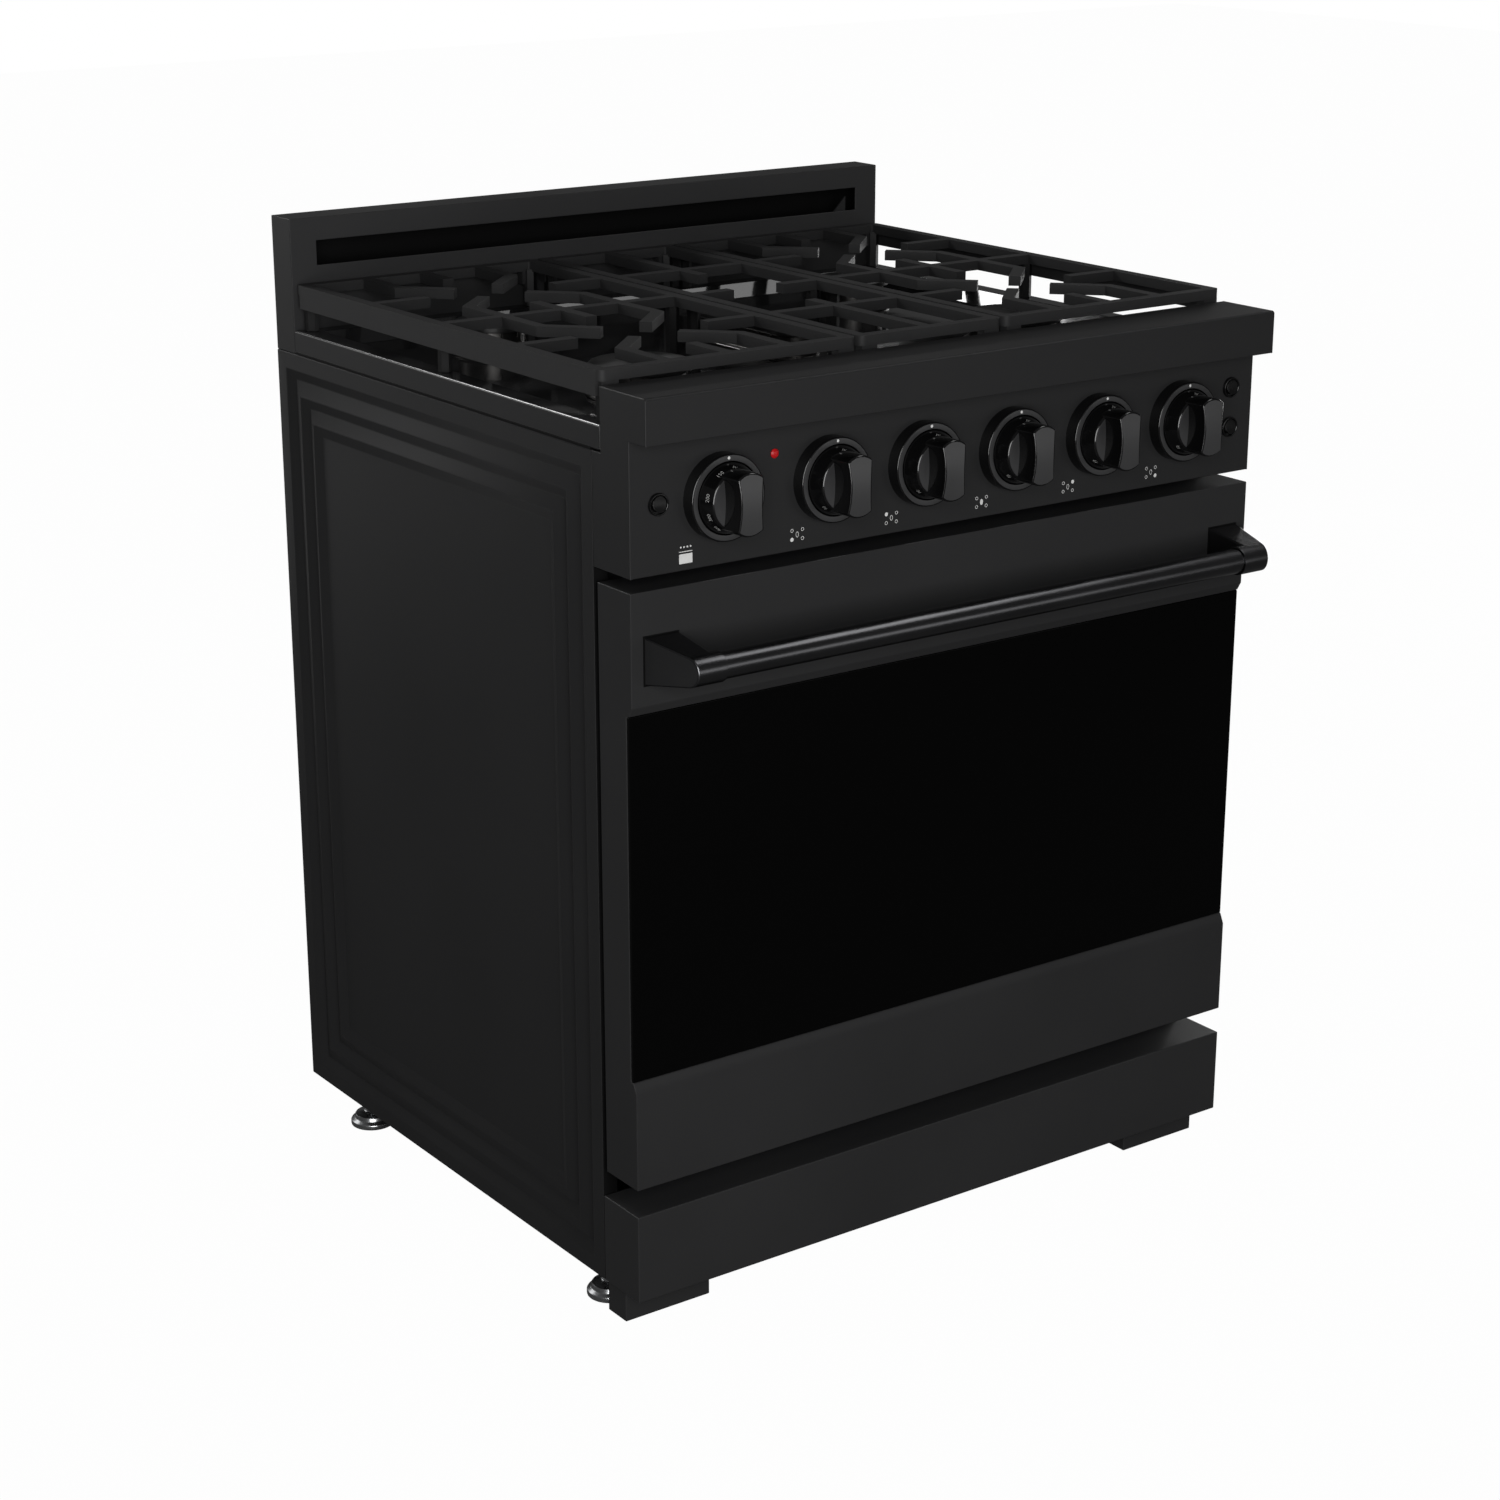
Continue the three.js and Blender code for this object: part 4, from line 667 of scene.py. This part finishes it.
for name, x in KNOBS.items():
    knob = bmesh.new()
    root, front = FACE_Y - GRIP["root"] / 1000, FACE_Y - KNOB_FRONT / 1000
    spread = 1 + GRIP["lean"] / GRIP["waist"] * (KNOB_FRONT - GRIP["root"]) / (KNOB_FRONT - SHELF)
    for v in prism(knob, [(x + dx * spread / 1000, root, KNOB_Z + dz / 1000) for dx, dz in grip_outline()]):
        v.co.x = x + (v.co.x - x) / spread
        v.co.y = front
    # slices across the grip let its front be crowned
    for height in GRIP_SLICES:
        bmesh.ops.bisect_plane(knob, geom=knob.verts[:] + knob.edges[:] + knob.faces[:], dist=ON_EDGE,
                               plane_co=(0, 0, KNOB_Z + height / 1000), plane_no=(0, 0, 1))
    for v in knob.verts:
        if v.co.y < front + NEAR:
            v.co.y += GRIP["crowned"] / 1000 * ((v.co.z - KNOB_Z) * 1000 / GRIP["crown"]) ** 2
    bmesh.ops.recalc_face_normals(knob, faces=knob.faces)
    corners = [e for e in sharp_edges(knob.edges, 25) if min(v.co.y for v in e.verts) < FACE_Y - GRIP_RIM]
    bevel(knob, corners, GRIP_EDGE, 4)
    for v in knob.verts:
        v.tag = True
    spun(knob, SKIRT_PROFILE, (x, FACE_Y, KNOB_Z), "Y", 128)
    # The grip's front takes the satin plastic, the shelves the painted shade.
    for face in knob.faces:
        ahead = FACE_Y - face.calc_center_median().y
        if face.normal.y < FLAT_FRONT and ahead > SHELF_FRONT:
            face.material_index = 1 if ahead > GRIP_FACE else 2
    make("knob_" + name + "_moulded", knob, [gloss_black, satin_plastic, shelf_shade], "knob_" + name + "_body",
         ["knob_" + name], smooth=30)
    refined("stem_" + name, zinc, "stem_" + name + "_body", 0.3)

rocker_black = finish("black_rocker", (0.0040, 0.0040, 0.0041), 0.28, specular=0.25, grain=900)
for name in SWITCHES:
    refined("switch_" + name, rocker_black, "switch_" + name + "_body", 0.5)
red_lens = finish("red_lens", (0.50, 0.010, 0.012), 0.32, specular=0.3, grain=100, cloud=60, bump=0.0)
refined("indicator_lamp", red_lens, "range", 0.3)

# ---------------------------------------------------------------- printing
# Screen-printed marks: plain numbers round each dial, a dot at the top of each bezel, and at the
# lower left of each knob a small plan of the five burners, or an oven for the oven's knob.
white_ink = finish("white_ink", (0.75, 0.75, 0.74), 0.5, specular=0.3, grain=2000, cloud=200, bump=0.02)
dial_ink = finish("grey_dial_ink", (0.45, 0.45, 0.44), 0.5, specular=0.3, grain=2000, cloud=200, bump=0.02)
INK = 0.00012
UPRIGHT = Matrix.Rotation(math.radians(90), 4, "X")


def ink_disc(mesh, x, z, radius, squash=1.0, y=FACE_Y, sides=24):
    """A round or oval dot of ink. Returns its face."""
    shape = Matrix.Translation((x, y - INK, z)) @ Matrix.Scale(squash, 4, (0, 0, 1)) @ UPRIGHT
    made = bmesh.ops.create_circle(mesh, cap_ends=True, segments=sides, radius=radius, matrix=shape)
    return made["verts"][0].link_faces[0]


def ink_ring(mesh, x, z, radius, line, squash):
    """A round or oval outline of ink."""
    face = ink_disc(mesh, x, z, radius, squash)
    face.normal_update()
    bmesh.ops.inset_region(mesh, faces=[face], thickness=line, use_even_offset=True, use_boundary=True)
    bmesh.ops.delete(mesh, geom=[face], context="FACES")


def ink_bar(mesh, x0, x1, z0, z1):
    """A straight bar of ink."""
    mesh.faces.new([mesh.verts.new((x, FACE_Y - INK, z)) for x, z in ((x0, z0), (x1, z0), (x1, z1), (x0, z1))])


def face_front(mesh):
    """Turns every face of a print to the front."""
    for face in mesh.faces:
        face.normal_update()
        if face.normal.y > 0:
            face.normal_flip()


printing = bmesh.new()
PLAN_X = {"front_left": -0.1955, "rear_left": -0.0855, "centre": 0.0245, "rear_right": 0.1345, "front_right": 0.2445}
PLAN_Z, PLAN_DOT, PLAN_RING, PLAN_LINE = 0.768, 0.0019, 0.0017, 0.00045
PLAN_SPOTS = {"front_left": (-6, -4.2, 1.0), "rear_left": (-6, 4.2, 1.0), "centre": (0, 0, 1.55),
              "rear_right": (6, 4.2, 1.0), "front_right": (6, -4.2, 1.0)}  # across and up in mm, and how tall
for name, x in PLAN_X.items():
    for spot, (dx, dz, oval) in PLAN_SPOTS.items():
        if spot == name:
            ink_disc(printing, x + dx / 1000, PLAN_Z + dz / 1000, PLAN_DOT, oval)
        else:
            ink_ring(printing, x + dx / 1000, PLAN_Z + dz / 1000, PLAN_RING, PLAN_LINE, oval)
OVEN_LEFT, OVEN_RIGHT, OVEN_DOOR, OVEN_LINE = -0.327, -0.3126, (0.7595, 0.7685), (0.7702, 0.7709)
OVEN_KNOBS_X, OVEN_KNOB_PITCH, OVEN_KNOBS_Z, OVEN_KNOB = -0.3252, 0.0036, 0.7748, 0.0009
ink_bar(printing, OVEN_LEFT, OVEN_RIGHT, *OVEN_DOOR)
ink_bar(printing, OVEN_LEFT, OVEN_RIGHT, *OVEN_LINE)
for i in range(4):
    ink_disc(printing, OVEN_KNOBS_X + i * OVEN_KNOB_PITCH, OVEN_KNOBS_Z, OVEN_KNOB)
face_front(printing)
make("panel_printing", printing, white_ink, "range")

DOT_RISE, DOT_RADIUS = 0.0368, 0.0014
for name, x in KNOBS.items():
    dot = bmesh.new()
    ink_disc(dot, x, KNOB_Z + DOT_RISE, DOT_RADIUS, y=FACE_Y - BEZEL_FRONT, sides=20)
    face_front(dot)
    make("index_dot_" + name, dot, white_ink, "range")

TEXT_SIZE, TEXT_THIN = 0.0052, -0.00003
DIAL_RISE, DIAL_INK = 0.6, 0.0002  # the numbers' place up the cone, as a share, and their lift off it


def dial(name, marks):
    """Plain numbers set square to the radius on the knob's skirt, leaning with its cone."""
    numbers = bmesh.new()
    lean = math.atan2(WIDE - BODY, SHELF - SKIRT)
    radius = ((1 - DIAL_RISE) * WIDE + DIAL_RISE * BODY) / 1000
    ahead = ((1 - DIAL_RISE) * SKIRT + DIAL_RISE * SHELF) / 1000
    out = Matrix.Translation((0, -ahead - DIAL_INK * math.sin(lean), radius + DIAL_INK * math.cos(lean)))
    tilt = Matrix.Rotation(lean - math.radians(90), 4, "X")
    for label, degrees in marks:
        text = bpy.data.curves.new("number", "FONT")
        text.body, text.size, text.offset = label, TEXT_SIZE, TEXT_THIN
        text.align_x, text.align_y = "CENTER", "CENTER"
        text.resolution_u = 2
        letter = bpy.data.objects.new("number", text)
        scene.collection.objects.link(letter)
        flat = letter.evaluated_get(bpy.context.evaluated_depsgraph_get()).to_mesh().copy()
        bpy.data.objects.remove(letter)
        round_axis = Matrix.Rotation(math.radians(degrees), 4, "Y")
        flat.transform(Matrix.Translation((KNOBS[name], FACE_Y, KNOB_Z)) @ round_axis @ out @ tilt @ UPRIGHT)
        numbers.from_mesh(flat)
        bpy.data.meshes.remove(flat)
    make("dial_" + name, numbers, dial_ink, "knob_" + name + "_body")


dial("oven", [("-0-", 0), ("150", -32), ("200", -79), ("300", -114), ("400", -141), ("500", 170)])
for name in PLAN_X:
    dial(name, [("-0-", 0), ("10", -135), ("5", 180), ("1", 135)])

# ---------------------------------------------------------------- landing ledge
# A deep bullnose over the controls: a box-section rail of the same painted steel, closed at both
# ends by the end plates.
LEDGE_WALL, LEDGE_EDGE = 0.002, 0.0008
ledge = bmesh.new()
(y0, z0), (y1, z1) = (ledge_low.y, ledge_low.z), (ledge_high.y, ledge_high.z)
hollow = [(y0, z0), (FACE_Y + LEDGE_WALL, z0), (FACE_Y + LEDGE_WALL, z0 + LEDGE_WALL),
          (y0 + LEDGE_WALL, z0 + LEDGE_WALL), (y0 + LEDGE_WALL, z1 - LEDGE_WALL),
          (y1 - LEDGE_WALL, z1 - LEDGE_WALL), (y1 - LEDGE_WALL, z0)]
extruded(ledge, hollow + [(y1, z0), (y1, z1)] + bullnose(), ledge_low.x + END_PLATE, ledge_high.x - END_PLATE)
bevel(ledge, long_corners(ledge), LEDGE_EDGE, 3)
make("landing_ledge_rail", ledge, satin_black, "range", ["landing_ledge"])

# ---------------------------------------------------------------- cooktop pan
# One pressing in gloss black porcelain enamel: a raised border, rolled down into a flat spill tray
# with a shallow dish round each burner. Its outer flange ends just above the side panels, and a
# black strip fills the gap beneath it as painted shade.
# Both enamels are lighter than black enamel's own tone, as painted reflection of a bright room.
pan_reflection_enamel = finish("painted_reflection_pan_enamel", (0.0165, 0.0165, 0.0170), 0.08, specular=0.5, spread=0.03, grain=24,
                      cloud=5, bump=0.10, depth=0.0012)
roll_reflection_enamel = finish("painted_reflection_roll_enamel", (0.0165, 0.0165, 0.0170), 0.20, specular=0.35, grain=900)
FLANGE_ENDS, FLANGE_RISE = 0.0016, 0.0018  # depth of the flange's lowest edge, and how far it is raised
FLANGE_SKIN, FLANGE_ROLL = 0.0006, 0.004  # distances in from its side that are still its flat, and its roll
FLANGE_FLAT, FLANGE_TURNS = 0.98, 0.05  # least sideways share of the normal on the flat, and on the roll
GAP_STRIP_INSIDE, GAP_STRIP_OUTSIDE, GAP_STRIP_FRONT, GAP_STRIP_BACK = 0.0042, 0.0002, 0.016, 0.0005  # in from the pan's box
GAP_STRIP_UNDER, GAP_STRIP_TOP = 0.0003, 0.0019  # below and above the bottom of the pan's box
pan = refined("cooktop_pan", [pan_reflection_enamel, satin_black, roll_reflection_enamel], "range", 0.8, 3, angle=18)
pan_low, pan_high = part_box("cooktop_pan")
for v in pan.data.vertices:
    if v.co.z < pan_low.z + FLANGE_ENDS:
        v.co.z += FLANGE_RISE
flange = pan_high.x - FLANGE_SKIN
for face in pan.data.polygons:
    away, sideways = abs(face.center.x), abs(face.normal.x)
    rolled = away > flange - FLANGE_ROLL and sideways > FLANGE_TURNS
    face.material_index = 1 if away > flange and sideways > FLANGE_FLAT else 2 * int(rolled)

# A black strip in the gap under each side of the flange, as painted shade.
for sign, side in ENDS:
    inner, outer = sorted((sign * (pan_high.x - GAP_STRIP_INSIDE), sign * (pan_high.x - GAP_STRIP_OUTSIDE)))
    gap_strip = block((inner, pan_low.y + GAP_STRIP_FRONT, pan_low.z - GAP_STRIP_UNDER),
                 (outer, pan_high.y - GAP_STRIP_BACK, pan_low.z + GAP_STRIP_TOP))
    make("pan_gap_shade_" + side, gap_strip, black_shade_strip, "range")

# ---------------------------------------------------------------- burners
# Cast alloy heads with flame ports, four round ones and a long one in the middle, each under a
# loose cap in satin enamel.
alloy = finish("cast_alloy", (0.11, 0.107, 0.104), 0.34, metallic=1.0, spread=0.12, grain=900, cloud=60, bump=0.12)
cap_black = finish("satin_cap_enamel", (0.016, 0.016, 0.016), 0.34, specular=0.5, grain=1200, cloud=20, bump=0.06)
for name in ("front_left", "rear_left", "rear_right", "front_right", "centre"):
    refined("burner_head_" + name, alloy, "range", 0.35, 1)
    refined("burner_cap_" + name, cap_black, "cap_" + name + "_body", 0.9, 3, angle=20)

# ---------------------------------------------------------------- grates
# Three castings in matte black enamel on iron: a frame on posts, straight and dog-legged fingers,
# and a skirt down each outer side. Every edge is soft from the mould. The posts below the frame are
# near black, as painted shade under the grate.
cast_black = finish("cast_iron_enamel", (0.0265, 0.0265, 0.0270), 0.56, specular=0.20, spread=0.1, grain=1500,
                    cloud=14, bump=0.30, depth=0.0003)
# Near black: painted shade on the grates' posts, under the frame.
post_shade = finish("painted_shade_on_posts", (0.0060, 0.0060, 0.0062), 0.6, specular=0.15, grain=1500)
POST_TOP = 0.0243  # how far under the grate's top its posts begin
for name in ("left", "centre", "right"):
    grate = refined("grate_" + name, [cast_black, post_shade], "grate_" + name + "_body", 0.9)
    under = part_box("grate_" + name)[1].z - POST_TOP
    # Faces below the posts' top take the painted shade.
    for face in grate.data.polygons:
        face.material_index = int(face.center.z < under)

# ---------------------------------------------------------------- backguard
# The flue box behind the cooktop, with a long slot that lets the oven's hot air out to the front.
# A small gusset stands in the right end of the slot.
# Near black: painted shade on the faces inside the flue, seen through its slot.
flue_shade = finish("painted_shade_in_flue", (0.0030, 0.0030, 0.0031), 0.7, specular=0.1, grain=600)
# A lighter copy of the body's satin paint: painted light on the flue box's front faces.
guard_front_lightened = finish("painted_light_guard_front", (0.0330, 0.0330, 0.0337), 0.45, specular=0.20)
GUARD_SKIN = 0.0012  # faces further in than this are inside the flue
GUSSET = [(0.321, 0.944), (0.337, 0.944), (0.337, 0.966), (0.321, 0.950)]  # (x, z)
GUSSET_SET_BACK, GUSSET_SHEET = 0.002, 0.002
guard = refined("backguard", [guard_front_lightened, flue_shade, satin_black], "range", 0.8)
low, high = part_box("backguard")
# Faces inside the flue take the painted shade, front faces the painted light, the rest the body's paint.
for face in guard.data.polygons:
    at = face.center
    within = min(at.x - low.x, high.x - at.x, at.y - low.y, high.y - at.y, high.z - at.z)
    face.material_index = 1 if within > GUARD_SKIN else 2 * int(face.normal.y > FORWARD)
gusset = bmesh.new()
rear = prism(gusset, [(x, low.y + GUSSET_SET_BACK, z) for x, z in GUSSET])
bmesh.ops.translate(gusset, verts=rear, vec=(0, GUSSET_SHEET, 0))
bmesh.ops.recalc_face_normals(gusset, faces=gusset.faces)
make("slot_gusset", gusset, satin_black, "range")
